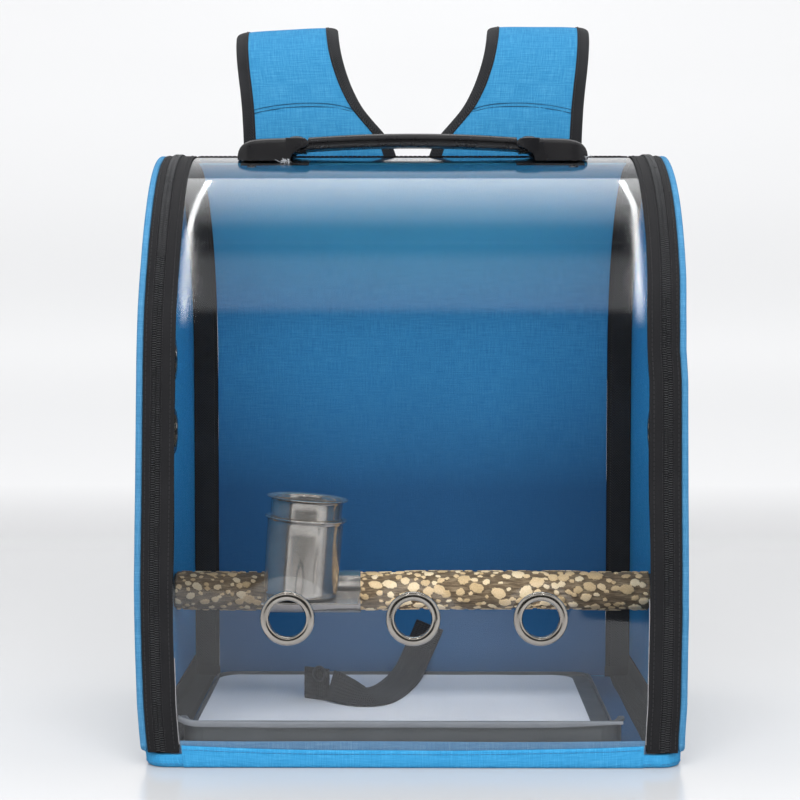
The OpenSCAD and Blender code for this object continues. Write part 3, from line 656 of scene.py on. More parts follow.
def instances(name, template, origin, ax, ay, az, mats, sharp=0):
    """Copies of a small shape, each at an origin with its own axes, as one mesh."""
    V, F = template
    origin, ax, ay, az = (np.asarray(q, float) for q in (origin, ax, ay, az))
    P = origin[:, None] + V[None, :, :1] * ax[:, None] + V[None, :, 1:2] * ay[:, None] + V[None, :, 2:] * az[:, None]
    n, k = len(origin), len(V)
    faces = [tuple(a + i * k for a in f) for i in range(n) for f in F]
    return finish_mesh(name, P.reshape(-1, 3), faces, None, mats, closed=True, sharp=sharp)


def stitch_row(name, C, N, mats, pitch=3.2, length=2.5, r=0.3, start=0.0):
    """Thread stitches along a line of points C, raised on the side of N."""
    C, N = np.asarray(C, float), np.asarray(N, float)
    d = np.concatenate([[0], np.cumsum(np.linalg.norm(np.diff(C, axis=0), axis=1))])
    q = np.arange(start + pitch / 2, d[-1] - pitch / 2, pitch)
    pos = np.stack([np.interp(q, d, C[:, i]) for i in range(3)], 1)
    nor = np.stack([np.interp(q, d, N[:, i]) for i in range(3)], 1)
    ahead = np.stack([np.interp(np.minimum(q + 1, d[-1]), d, C[:, i]) for i in range(3)], 1)
    back = np.stack([np.interp(np.maximum(q - 1, 0), d, C[:, i]) for i in range(3)], 1)
    T = ahead - back
    T /= np.linalg.norm(T, axis=1)[:, None]
    nor -= (nor * T).sum(1)[:, None] * T
    nor /= np.linalg.norm(nor, axis=1)[:, None]
    return instances(name, capsule(length, r, 6), pos + nor * 0.02, T, np.cross(nor, T), nor, mats)


def hoop_line(x, o, s0, s1, step=3.0, pulled=True):
    """Points and outward normals of a line that runs along the arch at one x and inset."""
    s = np.linspace(s0, s1, max(2, int(abs(s1 - s0) / step)))
    y, z, ny, nz = prof(s)
    P = np.stack([np.full_like(y, x), y - o * ny, z - o * nz], 1)
    return (pull(P) if pulled else P), np.stack([0 * y, ny, nz], 1)


def soften(node, mat, width=0.5, segments=2, angle=32):
    """A CAD node keeps its shape, with rounded edges and a detailed material."""
    ob = NODE[node]
    ob.data.materials.clear()
    ob.data.materials.append(mat)
    if width:
        w = ob.modifiers.new("weld", "WELD")
        w.merge_threshold = 0.00001
        b = ob.modifiers.new("round", "BEVEL")
        b.width = width * MM
        b.segments = segments
        b.limit_method = "ANGLE"
        b.angle_limit = math.radians(angle)
        b.harden_normals = False
        b.use_clamp_overlap = True
    return ob


def done(ob, body, slot_name=None, *nodes):
    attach(ob, body)
    if nodes:
        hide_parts(*nodes)
    return ob


# ------------------------------------------------------------------ the tether, a free strap of webbing
TETHER = [
    [[13.5, 124.1, 47.5], [0.95, 0, -0.31]], [[10, 124.1, 39], [0.94, 0, -0.35]],
    [[6.3, 123.2, 31], [0.9, 0, -0.42]], [[3, 119.5, 24.5], [0.86, -0.05, -0.5]],
    [[0.3, 112, 19.6], [0.86, -0.07, -0.5]], [[-2, 102, 16.8], [0.88, -0.09, -0.44]],
    [[-4.2, 90, 15.6], [0.9, -0.12, -0.4]], [[-6.8, 76, 15], [0.92, -0.16, -0.36]],
    [[-9.8, 62, 14.8], [0.92, -0.2, -0.34]], [[-13, 48, 14.8], [0.9, -0.25, -0.34]],
    [[-17, 34, 14.8], [0.85, -0.38, -0.34]], [[-21, 23, 15], [0.74, -0.56, -0.36]],
    [[-26, 14.5, 15.4], [0.5, -0.77, -0.38]], [[-32.5, 11, 15.8], [0.15, -0.9, -0.4]],
    [[-40, 12, 17], [-0.12, -0.84, -0.52]], [[-47, 15.2, 18.8], [-0.3, -0.65, -0.68]],
    [[-53.5, 19, 20.6], [-0.35, -0.45, -0.8]], [[-58.5, 22, 21.6], [-0.15, -0.22, -0.95]]]
tp = np.array([r[0] + r[1] for r in TETHER], float)
tc = spline(tp, 84)
T_, S_, N_ = frames(tc[:, :3], side=tc[:, 3:])
tether = sweep("tether_webbing", tc[:, :3], S_, N_, rrect(-11, 11, -0.8, 0.8, 0.55, 3, sub_a=10), m_web)
loop_m = Matrix.Translation((-59.2, 22.4, 0)) @ Matrix.Rotation(math.radians(150), 4, "Z")
loop_R, loop_T = np.array(loop_m.to_3x3()), np.array(loop_m.translation)


def at_loop(p):
    return np.asarray(p, float) @ loop_R.T + loop_T


# the folded end: two layers that round over at the fold, sewn with a bar of stitches
ys = np.linspace(0.4, 20.6, 24)
lp_sec = rrect(10.6, 33.0, -2.3, 2.3, 1.0, 3, sub_a=14)
rings = []
for i, x in enumerate(ys):
    f = math.sqrt(max(0.0, 1 - ((x - 10.5) / 10.4) ** 8))
    swell = 0.62 + 0.38 * f if i not in (0, len(ys) - 1) else 0.45
    rings.append(at_loop([[x, o * swell + 0.12 * math.sin(z * 0.9 + x), z] for z, o in lp_sec]))
tether_end = loft("tether_loop_webbing", np.array(rings), m_web)
ztk = np.linspace(13, 30.5, 40)
tacks = []
for xx in (3.4, 5.0, 6.6):
    C = at_loop([[xx, 2.42, z] for z in ztk])
    tacks.append(stitch_row("tack", C, np.repeat([loop_R @ np.array([0, 1, 0])], len(C), 0), m_thread, pitch=1.5, length=1.5, r=0.28))
tether_tack = join("tether_tack", tacks)
soften("tether_ring", m_zinc, 0)
for o in (tether, tether_end, tether_tack):
    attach(o, "root")
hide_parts("tether_strap")
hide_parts("tether_loop")

# ------------------------------------------------------------------ base: soft blue pan with hems
rb = []
for inset, z in [(6, 0.0), (3.0, 0.03), (1.5, 0.25), (0.7, 0.8), (0.25, 1.8), (0.05, 3.4), (0.0, 5.4), (0.0, 7.0), (0.15, 8.2), (0.8, 8.95),
                 (1.7, 8.9), (2.3, 8.2), (2.6, 6.42), (9, 6.4)]:
    r = max(4.0, 15 - inset)
    p = rrect(-172.4 + inset, 172.4 - inset, -129.7 + inset, 129.7 - inset, r, 8, sub_a=70, sub_b=54)
    w = wav(p[:, 0], p[:, 1], 3, lo=0.03, hi=0.12) * 0.35 * (1 if 1 < z < 8.5 else 0.3)
    q = np.column_stack([p[:, 0] * (1 + 0 * w), p[:, 1], np.full(len(p), z)])
    out = np.column_stack([np.sign(p[:, 0]) * (np.abs(p[:, 0]) > 160), np.sign(p[:, 1]) * (np.abs(p[:, 1]) > 120)])
    q[:, :2] -= out * (0.35 + w[:, None])
    rb.append(q)
base = loft("base_fabric", pull(np.array(rb)), m_blue, sharp=70)
done(base, "root", "blue_fabric", "base_cover", "floor_board")

# bottom seam line round the base, a fine blue piping of thread
C = np.concatenate([rrect(-171.9, 171.9, -129.4, 129.4, 14, 8, sub_a=70, sub_b=54)])
C = np.column_stack([C, np.full(len(C), 2.6)])
Nn = np.column_stack([np.where(np.abs(C[:, 0]) > 158, np.sign(C[:, 0]), 0), np.where(np.abs(C[:, 1]) > 116, np.sign(C[:, 1]), 0), 0 * C[:, 0]])
Nn /= np.linalg.norm(Nn, axis=1)[:, None]
st_base = stitch_row("base_stitches", pull(C), Nn, m_thread_blue, pitch=3.4, length=2.6, r=0.24)
done(st_base, "root", "blue_fabric")


def hem(name, ysign, ends, x_end, mat, seed):
    """The folded hem in front of or behind the sheet: its top edge sags in the middle."""
    xs = np.linspace(-x_end, x_end, 150)
    rings = []
    for x in xs:
        f = abs(x / x_end)
        top = ends[0] + (ends[1] - ends[0]) * f**2.6 + 0.25 * float(wav(x, 0.0, seed))
        bulge = 0.25 * float(wav(x, 40.0, seed + 1, lo=0.03, hi=0.1))
        o = []
        for yy, zz in [(128.98, 3.0), (128.98, top - 0.9), (129.1, top - 0.25), (129.45, top), (129.9, top - 0.3), (130.1, top - 1.0),
                       (130.22 + bulge, top - 3.4), (130.32 + bulge, 7.5), (130.3 + bulge, 4.6), (130.05 + bulge, 2.0), (129.5 + bulge, 0.5), (128.4, 0.12), (128.0, 1.6)]:
            o.append((x, ysign * yy, zz))
        rings.append(o)
    rings = np.array(rings)
    rings[0] = rings[0] * [1, 1, 1] + [0.6, 0, 0]
    rings[-1] = rings[-1] - [0.6, 0, 0]
    return loft(name, pull(rings), mat, sharp=60)


hem_f = hem("front_hem", -1, (11.4, 14.4), 147.2, m_blue, 11)
hem_b = hem("rear_hem", 1, (11.4, 12.2), 147.2, m_blue, 21)
done(hem_f, "root", "blue_fabric")
done(hem_b, "root", "blue_fabric")
for nm, sy, ends, sd in (("front", -1, (11.4, 14.4), 11), ("rear", 1, (11.4, 12.2), 21)):
    xs = np.linspace(-146, 146, 160)
    C = np.column_stack([xs, sy * np.full(160, 130.2), ends[0] + (ends[1] - ends[0]) * np.abs(xs / 147.2)**2.6 - 2.4 + 0.25 * wav(xs, 0 * xs, sd)])
    o = stitch_row(f"{nm}_hem_stitches", pull(C), np.repeat([[0, sy, 0.0]], 160, 0), m_thread_blue, pitch=3.3, length=2.6, r=0.26)
    done(o, "root", "blue_fabric")

# the strip of hem behind the clear sheet, its upper edge a little uneven
xs = np.linspace(-147.6, 147.6, 150)
rings = []
for x in xs:
    top = 16.6 + 0.35 * float(wav(x, 0.0, 31)) + 0.6 * abs(x / 148)**4
    rings.append([(x, yy, zz) for yy, zz in [(-127.95, 2.0), (-127.95, top - 0.3), (-127.7, top), (-127.3, top), (-127.05, top - 0.3), (-127.05, 2.0)]])
m_hem_in = fabric("blue_hem_inside", (0.085, 0.200, 0.340), (0.060, 0.150, 0.270), (0.150, 0.280, 0.420))
hem_in = loft("hem_inside", pull(np.array(rings)), m_hem_in, sharp=60)
done(hem_in, "root", "blue_fabric", "front_hem_inner")

# floor lining with soft ripples
gx, gy = np.linspace(-151.3, 151.3, 120), np.linspace(-126.6, 124.8, 100)
X, Y = np.meshgrid(gx, gy, indexing="ij")
Zt = 7.75 + 0.22 * wav(X, Y, 41, lo=0.03, hi=0.11)
rings = np.concatenate([np.stack([X, Y, Zt], 2), np.stack([X, Y, np.full_like(X, 6.6)], 2)[:, ::-1]], 1)
floor_l = loft("floor_lining_cloth", pull(rings), m_lining, sharp=50)
done(floor_l, "root", "lining_fabric", "floor_lining")

# fabric hinges: on the floor, then up the inside of each door
for sn, s in SIDES:
    ysn = np.linspace(-121.5, 121.5, 90)
    # mid line of the tape in (x, z), then its thickness to each side
    line = np.array([[150.6, 8.5], [153, 8.62], [156, 8.6], [159, 8.6], [161.5, 8.65], [163.4, 8.9], [164.8, 9.7], [165.5, 11.0], [165.75, 13.0],
                     [165.8, 16], [165.8, 19], [165.8, 22], [165.8, 24.6]])
    tt = np.gradient(line, axis=0)
    tt /= np.linalg.norm(tt, axis=1)[:, None]
    nn = np.column_stack([-tt[:, 1], tt[:, 0]])
    outl = np.concatenate([line + nn * 0.45, (line - nn * 0.45)[::-1]])
    rings = []
    for yv in ysn:
        w = float(wav(yv, 0.0, 51 + s, lo=0.04, hi=0.12))
        o = outl.copy()
        o[:, 1] += 0.18 * w * np.exp(-((o[:, 0] - 157) / 6) ** 2)
        o[:, 0] -= 0.5 * w * (o[:, 0] < 153)
        rings.append(np.column_stack([s * o[:, 0], np.full(len(o), yv), o[:, 1]]))
    h = loft(f"hinge_tape_{sn}", pull(np.array(rings)), m_tape, sharp=60)
    # the pull at this height is nearly even over the door, so the tape stays against it
    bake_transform(h)
    if s < 0:
        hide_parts("hinge_tapes")
    C = np.column_stack([np.full(90, s * 154.0), ysn, np.full(90, 9.1)])
    o = stitch_row(f"hinge_stitches_{sn}", pull(C), np.repeat([[0, 0, 1.0]], 90, 0), m_thread, pitch=3.4, length=2.6, r=0.26)
    done(o, "root", "black_tape")

# ------------------------------------------------------------------ clear front and top
S_SEAM = float(s_at_y(5.0))
EYES = [(-79, 95.4), (0.5, 95.4), (81, 95.4)]
sx = np.linspace(-154.5, 154.5, 130)
ns = 198
ss = np.linspace(2.5, S_SEAM - 0.4, ns)
y, z, ny, nz = prof(ss)
X = np.repeat(sx[None], ns, 0)
Sg = np.repeat(ss[:, None], len(sx), 1)
O = 1.45 + 0.10 * wav(X, Sg, 61, lo=0.004, hi=0.014)
for ex, ez in EYES:  # the sheet draws in a little round each eyelet
    rr = np.hypot(X - ex, Sg - ez)
    O += 0.25 * np.exp(-((rr - 17) / 7.0) ** 2)
P = np.stack([X, y[:, None] - O * ny[:, None], z[:, None] - O * nz[:, None]], 2)
cx = (X[:-1, :-1] + X[1:, 1:]) / 2
cz = (Sg[:-1, :-1] + Sg[1:, 1:]) / 2
keep = np.ones(cx.shape, bool)
for ex, ez in EYES:
    keep &= np.hypot(cx - ex, cz - ez) > 13.6
sheet_c = loft("clear_front_and_top", pull(P), m_clear, wrap=False, caps=False, keep=keep, closed=False, sharp=0)
sol = sheet_c.modifiers.new("thickness", "SOLIDIFY")
sol.thickness = 0.0006
sol.offset = 0
done(sheet_c, "root", "clear_sheet", "clear_shell")

# the sheet's cut edge, which shows as a pale line beside the tape
for sn, s in SIDES:
    sec = rrect(s * 148.1 - 0.28, s * 148.1 + 0.28, 1.0, 2.0, 0.25, 2)
    e = hoop(f"sheet_edge_{sn}", sec, 15.0, 70.0 if s < 0 else 108.0, m_edge, step=5,
             shape=lambda S, X, O, s=s: (X + 0.25 * wav(S, 0 * S, 71 + s, lo=0.02, hi=0.06), O))
    done(e, "root", "clear_sheet")

EYELET = [(11.5, -2.1), (11.35, -1.0), (11.35, 0.4), (11.55, 1.1), (12.1, 1.75), (12.9, 2.1), (13.8, 2.15), (14.7, 1.9), (15.5, 1.35),
          (16.0, 0.7), (16.15, 0.15), (15.9, -0.05), (12.5, -0.1), (12.3, -0.5), (12.4, -0.95), (15.7, -1.0), (15.95, -1.25), (15.7, -1.7),
          (14.2, -2.3), (12.4, -2.45)]
eyes = []
for i, (ex, ez) in enumerate(EYES):
    tilt = Matrix.Rotation(math.radians((1.2, -0.8, 1.5)[i]), 4, "X") @ Matrix.Rotation(math.radians((-1.0, 0.6, 0.9)[i]), 4, "Z")
    m = Matrix.Translation((ex, -129.0, ez)) @ tilt @ Matrix.Rotation(math.radians(90), 4, "X")
    eyes.append(lathe(f"eye{i}", [(11.6 + (a_ - 11.35) * 1.19, b_) for a_, b_ in EYELET], m_nickel, m, segs=72, closed_profile=True))
eyelets = join("front_eyelet_rings", eyes)
done(eyelets, "root", "nickel", "front_eyelets")

# black tape over the seam of the sheet and the back
S_T0, S_T1 = float(s_at_y(-1)), float(s_at_y(11))
seam = hoop("top_seam_tape_cloth", rrect(-148.1, 148.1, -0.15, 0.95, 0.4, 2, sub_a=80), S_T0, S_T1, m_tape, step=1.0,
            shape=lambda S, X, O: (X, O + 0.12 * wav(X, S, 81, lo=0.03, hi=0.12)))
done(seam, "root", "black_tape", "top_seam_tape")
for i, yv in enumerate((0.6, 9.2)):
    s0 = float(s_at_y(yv))
    xs = np.linspace(-147, 147, 180)
    y0, z0, ny0, nz0 = (float(q[0]) for q in prof(s0))
    C = np.column_stack([xs, np.full(180, y0 + 0.25 * ny0), np.full(180, z0 + 0.25 * nz0)])
    o = stitch_row(f"seam_stitches_{i}", C, np.repeat([[0, ny0, nz0]], 180, 0), m_thread, pitch=3.2, length=2.5, r=0.28)
    done(o, "root", "black_tape")

# ------------------------------------------------------------------ back wall
back_sec = rrect(-148.2, 148.2, 1.05, 1.95, 0.4, 2, sub_a=90)
back = hoop("back_fabric", back_sec, S_SEAM + 0.2, LOOP - 2.5, m_blue, step=4,
            shape=lambda S, X, O: (X, O - 0.30 * np.clip(wav(X, S, 91, lo=0.01, hi=0.05), -1, 1)
                                   * (1 - np.abs(X / 148.2)**4) * (O < 1.5)))
done(back, "root", "blue_fabric", "back_cover", "back_board", "back_foam")
lin_sec = rrect(-148.0, 148.0, 4.0, 5.0, 0.4, 2, sub_a=90)
lining = hoop("back_lining_cloth", lin_sec, S_SEAM, LOOP - 8.2, m_lining, step=4,
              shape=lambda S, X, O: (X, O + (0.30 * wav(X, S, 101, lo=0.01, hi=0.045) + 0.10 * wav(X, S, 102, lo=0.05, hi=0.2))
                                     * (1 - np.abs(X / 148.0)**6) * (O > 4.5)))
done(lining, "root", "lining_fabric", "back_lining")

# ------------------------------------------------------------------ zips: tapes, coils, bindings
PITCH = 1.5
for sn, s in SIDES:
    def ordered(a, b):
        return (min(s * a, s * b), max(s * a, s * b))

    a, b = ordered(148.5, 157.9)
    t = hoop(f"zip_tape_{sn}", rrect(a, b, 0.0, 0.95, 0.35, 2, sub_a=6), 9.9, LOOP - 9.9, m_tape, step=4,
             shape=lambda S, X, O, s=s: (X + 0.22 * wav(S, 0 * S, 111 + s, lo=0.015, hi=0.05), O + 0.10 * wav(S, X, 113, lo=0.02, hi=0.1) * (O < 0.5)))
    done(t, "root", "black_tape")
    a, b = ordered(162.1, 168.3)
    d = hoop(f"door_zip_tape_{sn}", rrect(a, b, 0.0, 0.95, 0.35, 2, sub_a=5), 10.1, LOOP - 10.1, m_tape, step=4,
             shape=lambda S, X, O: (X, O + 0.10 * wav(S, X, 117, lo=0.02, hi=0.1) * (O < 0.5)))
    a, b = ordered(162.1, 166.35)
    d2 = hoop(f"door_zip_tape_in_{sn}", rrect(a, b, 1.0, 1.9, 0.3, 2, sub_a=3), 10.1, LOOP - 10.1, m_tape, step=4)
    done(d, f"door_{sn}", "black_tape", f"door_tape_{sn}")
    done(d2, f"door_{sn}", "black_tape")
    if s < 0:
        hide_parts("zip_tapes")
    for nm, x, body in ((f"tape_stitches_{sn}", 151.1, "root"), (f"door_tape_stitches_{sn}", 166.6, f"door_{sn}")):
        C, Nn = hoop_line(s * x, -0.02, 12, LOOP - 12)
        done(stitch_row(nm, C, Nn, m_thread, pitch=3.0, length=2.4, r=0.30), body, "black_tape")
    # the coils: two rows of interleaved teeth; on the run of the slider they leave its channel
    for half, body in ((0, "root"), (1, f"door_{sn}")):
        q = np.arange(10.9 + half * PITCH / 2, LOOP - 39.5, PITCH)
        yq, zq, nyq, nzq = prof(q)
        run = (yq > 100) & (zq < 247)
        inner = np.where(run, 158.75, 160.30) if half == 0 else np.where(run, 161.25, 159.70)
        outer = np.where(run, 157.55, 157.15) if half == 0 else np.where(run, 162.45, 162.85)
        mid, ln = (inner + outer) / 2, np.abs(inner - outer)
        lift = np.where(run, -0.15, -0.45)
        tall = np.where(run, 0.30, 0.42)
        P = pull(np.stack([s * mid, yq - lift * nyq * 1.0, zq - lift * nzq], 1))
        ax = np.stack([ln, 0 * ln, 0 * ln], 1)
        tan = np.stack([0 * yq, nzq, -nyq], 1)
        nor = np.stack([0 * yq, nyq, nzq], 1) * (tall / 0.30)[:, None]
        V, F = capsule(1.0, 0.30, 6)
        teeth = instances(f"zip_teeth_{sn}_{half}", (V * [1, 1.12, 2.0], F), P, ax, tan, nor, m_coil)
        done(teeth, body, "zip_coil", *(["zip_coils"] if half == 0 and s < 0 else [f"door_coil_{sn}"] if half else []))
        # the woven edge under the teeth, as far as the slider's straight run
        a, b = ordered(157.4, 159.93) if half == 0 else ordered(160.07, 162.6)
        core = hoop(f"zip_core_{sn}_{half}", rrect(a, b, 0.30, 0.93, 0.25, 2), 10.0, LOOP - 254, m_tape, step=4)
        done(core, body, "black_tape")
        # a sewn cord beside each row
        xr = 156.5 if half == 0 else 163.5
        C, Nn = hoop_line(s * xr, -0.05, 12, LOOP - 14)
        done(stitch_row(f"coil_stitches_{sn}_{half}", C, Nn, m_thread, pitch=1.9, length=1.6, r=0.26), body, "black_tape")
    # the guard behind the teeth, which keeps light and feathers out of the zip
    a, b = ordered(152.6, 166.1)
    gd = hoop(f"zip_guard_{sn}", rrect(a, b, 4.30, 4.85, 0.25, 2, sub_a=6), 12.5, LOOP - 12.5, m_bind, step=4,
              shape=lambda S, X, O, s=s: (X, O + 0.10 * wav(S, X, 119 + s, lo=0.02, hi=0.08) * (O > 4.6)))
    done(gd, "root", "black_tape")
    # bindings inside, with slightly uneven inner edges, and the rod's sleeve
    a, b = ordered(148.3, 155.5)
    bi = hoop(f"seam_binding_{sn}", rrect(a, b, 2.15, 2.95, 0.35, 2, sub_a=5), 10.2, LOOP - 10.2, m_bind, step=4,
              shape=lambda S, X, O, s=s: (X + s * 0.0 + 0.8 * wav(S, 0 * S, 121 + s, lo=0.02, hi=0.07) * (np.abs(X) < 151), O))
    done(bi, "root", "black_tape", *(["seam_bindings"] if s < 0 else []))
    ang = np.linspace(0, 2 * math.pi, 12, endpoint=False)
    sec = np.column_stack([s * 152 + 1.05 * np.cos(ang), 4.0 + 0.98 * np.sin(ang)])
    rod = hoop(f"rod_sleeve_{sn}", sec, 10.4, LOOP - 10.4, m_bind, step=4)
    done(rod, "root", "black_tape", *(["arch_rods"] if s < 0 else []))

# ------------------------------------------------------------------ side doors
VENTS = (205, 255, 305)


def arch_z(y, o):
    return WALL_H + (ARCH_H - o) * np.sqrt(np.clip(1 - (y / (HALF_D - o)) ** 2, 0, 1))


def door_sheet(name, s, x_edge, x_mid, inset, mat, seed, hole, thick):
    """One cloth face of a side door, filling the arch and bulging a little, with its air holes cut out."""
    nj, ni = 118, 170
    yy = (HALF_D - inset) * np.sin(np.linspace(-math.pi / 2, math.pi / 2, nj) * 0.9999) / math.sin(math.pi / 2 * 0.9999)
    yy = 0.55 * yy + 0.45 * np.linspace(-(HALF_D - inset), HALF_D - inset, nj)
    top = np.where(np.abs(yy) >= HALF_D - inset, WALL_H, arch_z(yy, inset))
    v = np.linspace(0, 1, ni)
    Yg = np.repeat(yy[:, None], ni, 1)
    Zg = 10.4 + v[None] * (top[:, None] - 10.4)
    edge = np.minimum(np.minimum((HALF_D - inset) - np.abs(Yg), top[:, None] - Zg), Zg - 10.4)
    f = np.clip(edge / 26.0, 0, 1)
    f = f * f * (3 - 2 * f)
    Xg = x_edge + (x_mid - x_edge) * f + 0.35 * wav(Yg, Zg, seed, lo=0.015, hi=0.06) * f
    P = np.stack([s * Xg, Yg, Zg], 2)
    cy, cz = (Yg[:-1, :-1] + Yg[1:, 1:]) / 2, (Zg[:-1, :-1] + Zg[1:, 1:]) / 2
    keep = np.ones(cy.shape, bool)
    for zv in VENTS:
        keep &= np.hypot(cy, cz - zv) > hole
    keep &= np.hypot(cy, cz - 93.2) > 3.2
    ob = loft(name, pull(P), mat, wrap=False, caps=False, keep=keep, closed=False, sharp=0)
    so = ob.modifiers.new("thickness", "SOLIDIFY")
    so.thickness = thick * MM
    so.offset = 0
    return ob


for sn, s in SIDES:
    body = f"door_{sn}"
    outer = door_sheet(f"door_cover_cloth_{sn}", s, 170.15, 170.75, 1.2, m_door_shaded, 131 + s, 13.4, 0.7)
    done(outer, body, "blue_fabric", f"door_cover_{sn}", f"door_board_{sn}")
    inner = door_sheet(f"door_lining_cloth_{sn}", s, 166.95, 166.75, 1.2, m_side, 141 + s, 13.4, 0.6)
    done(inner, body, "lining_fabric", f"door_lining_{sn}")
    # piping all round the door: a cloth roll that follows the outline and rounds the lower corners
    q = np.linspace(16, LOOP - 16, 250)
    yq, zq, nyq, nzq = prof(q)
    pts = np.stack([yq - 2.3 * nyq, zq - 2.3 * nzq], 1)
    corner_r = [(127.7 - 3.4 * (1 - math.cos(a)), 12.3 + 3.4 * (1 - math.sin(a))) for a in np.linspace(0.1, math.pi / 2, 7)]
    bottom_y = np.linspace(122, -122, 70)
    pts = np.concatenate([pts, corner_r, np.column_stack([bottom_y, np.full(70, 12.3)]), [(-a, b) for a, b in corner_r[::-1]]])
    C = np.column_stack([np.full(len(pts), s * 170.75), pts])
    C[:, 0] += s * 0.12 * wav(C[:, 1], C[:, 2], 151 + s, lo=0.02, hi=0.08)
    T = np.roll(C, -1, 0) - np.roll(C, 1, 0)
    T /= np.linalg.norm(T, axis=1)[:, None]
    S1 = np.repeat([[1.0, 0, 0]], len(C), 0)
    N1 = np.cross(T, S1)
    N1 /= np.linalg.norm(N1, axis=1)[:, None]
    ang = np.linspace(0, 2 * math.pi, 16, endpoint=False)
    sec = np.column_stack([2.2 * np.sign(np.cos(ang)) * np.abs(np.cos(ang))**0.75, 2.25 * np.sign(np.sin(ang)) * np.abs(np.sin(ang))**0.75])
    Pp = pull(C)[:, None] + S1[:, None] * sec[None, :, :1] + N1[:, None] * sec[None, :, 1:]
    pip = loft(f"door_piping_roll_{sn}", Pp, m_door_shaded, loop=True, caps=False, sharp=0)
    done(pip, body, "blue_fabric", f"door_piping_{sn}")
    C2, N2 = hoop_line(s * 171.0, 6.4, 16, LOOP - 16)
    N2 = np.repeat([[float(s), 0, 0]], len(C2), 0)
    done(stitch_row(f"door_stitches_{sn}", C2, N2, m_thread_blue, pitch=3.2, length=2.5, r=0.26), body, "blue_fabric")
    eyes = []
    for i, zv in enumerate(VENTS):
        m = Matrix.Translation((s * 170.7, 0, zv)) @ Matrix.Rotation(math.radians(90 * s), 4, "Y")
        prf = [(r, zz if zz > -0.5 else zz - 3.4) for r, zz in EYELET]
        eyes.append(lathe(f"v{i}", prf, m_nickel, m, segs=64, closed_profile=True))
    done(join(f"door_eyelet_rings_{sn}", eyes), body, "nickel", f"door_eyelets_{sn}")
    soften(f"perch_knob_{sn}", m_matte, 0.7, 3)
    soften(f"perch_screw_{sn}", m_screw, 0.3, 2)
    soften(f"zip_slider_{sn}", m_zinc, 0.35, 2)
    soften(f"zip_pull_{sn}", m_zinc, 0.3, 2)

for sn, s in SIDES:
    rings = []
    for zz in np.linspace(7.5, 15.5, 6):
        o_ = 0.15 * math.sin(zz * 1.9 + s)
        rings.append([(s * a_, b_ + o_, zz) for a_, b_ in ((147.4, 124.2), (148.4, 123.9), (164.6, 123.9), (165.4, 124.2), (165.4, 124.9), (147.4, 124.9))])
    done(loft(f"corner_patch_{sn}", np.array(rings), m_tape_obj), "root", "black_webbing")

# ------------------------------------------------------------------ perch
rs = np.random.RandomState(7)
PL, PR = 164.4, 13.2
nx, na = 400, 112
gx = np.linspace(-PL, PL, nx)
ga = np.linspace(0, 2 * math.pi, na, endpoint=False)
circ = 2 * math.pi * PR
X, A = np.meshgrid(gx, ga, indexing="ij")
U = A * PR
seeds = []
for _ in range(2600):
    c = rs.uniform(-PL, PL), rs.uniform(0, circ)
    r = (1.3 + 4.6 * rs.beta(1.3, 2.4)) * (0.86 + 0.36 * (c[0] + PL) / (2 * PL))
    el = rs.uniform(0.55, 0.95)
    if all(math.hypot(c[0] - q[0], (c[1] - q[1] + circ / 2) % circ - circ / 2) > 0.80 * (r + q[2]) for q in seeds):
        seeds.append((*c, r, el, rs.uniform(-0.5, 0.5), rs.uniform(0, 1)))
best = np.full(X.shape, 9.0)
tone = np.zeros(X.shape)
wob = 0.16 * wav(X * 6, U * 6, 161, lo=0.05, hi=0.2) + 0.10 * wav(X * 14, U * 14, 162, lo=0.05, hi=0.2)
for cx0, cu, r, el, rot, tn in seeds:
    dx = X - cx0
    near = np.abs(dx) < r * 2
    du = (U - cu + circ / 2) % circ - circ / 2
    a = (dx * math.cos(rot) + du * math.sin(rot)) / r
    b = (-dx * math.sin(rot) + du * math.cos(rot)) / (r * el)
    d = np.sqrt(a * a + b * b) + wob
    hit = near & (d < best)
    best = np.where(hit, d, best)
    tone = np.where(hit, tn, tone)
knot = np.clip((1.12 - best) / 0.30, 0, 1)
knot = knot * knot * (3 - 2 * knot)
lump = 0.9 * wav(X, U, 163, lo=0.02, hi=0.09)
R = PR - 0.25 + lump + 0.85 * knot - 0.25 * (1 - knot) * (0.5 + 0.5 * wav(X * 5, U * 5, 164, lo=0.05, hi=0.3))
bow = 0.5 * np.sin(X / PL * 2.4 + 0.6)
R = np.minimum(R, 14.1 - 0.85 * np.abs(bow))  # the feeder's clip slides along it
P = np.stack([X, R * np.cos(A), 93.2 + R * np.sin(A) + bow * (1 - np.abs(X / PL)**6)], 2)
# sawn ends, drawn in towards the screws' bores
ends = []
for sgn in (-1, 1):
    row = P[0 if sgn < 0 else -1]
    cen = np.array([row[0, 0], 0.0, 93.2])
    ends.append([cen + (row - cen) * f + np.array([-sgn * d, 0, 0]) for f, d in ((0.93, -0.35), (0.7, -0.4), (0.42, -0.4), (0.385, 0.2), (0.38, 9.0))])
P = np.concatenate([np.array(ends[0][::-1]), P, np.array(ends[1])], 0)
perch = loft("perch_branch", P, m_wood, caps=True, sharp=0)
for nm, arr in (("knot", knot), ("tone", tone)):
    at = perch.data.attributes.new(nm, "FLOAT", "POINT")
    full = np.concatenate([np.zeros((5, na)), arr, np.zeros((5, na))], 0).ravel()
    at.data.foreach_set("value", full.astype(np.float32))
done(perch, "root", "wood", "perch")
soften("perch_washers", m_matte, 0.3, 2)

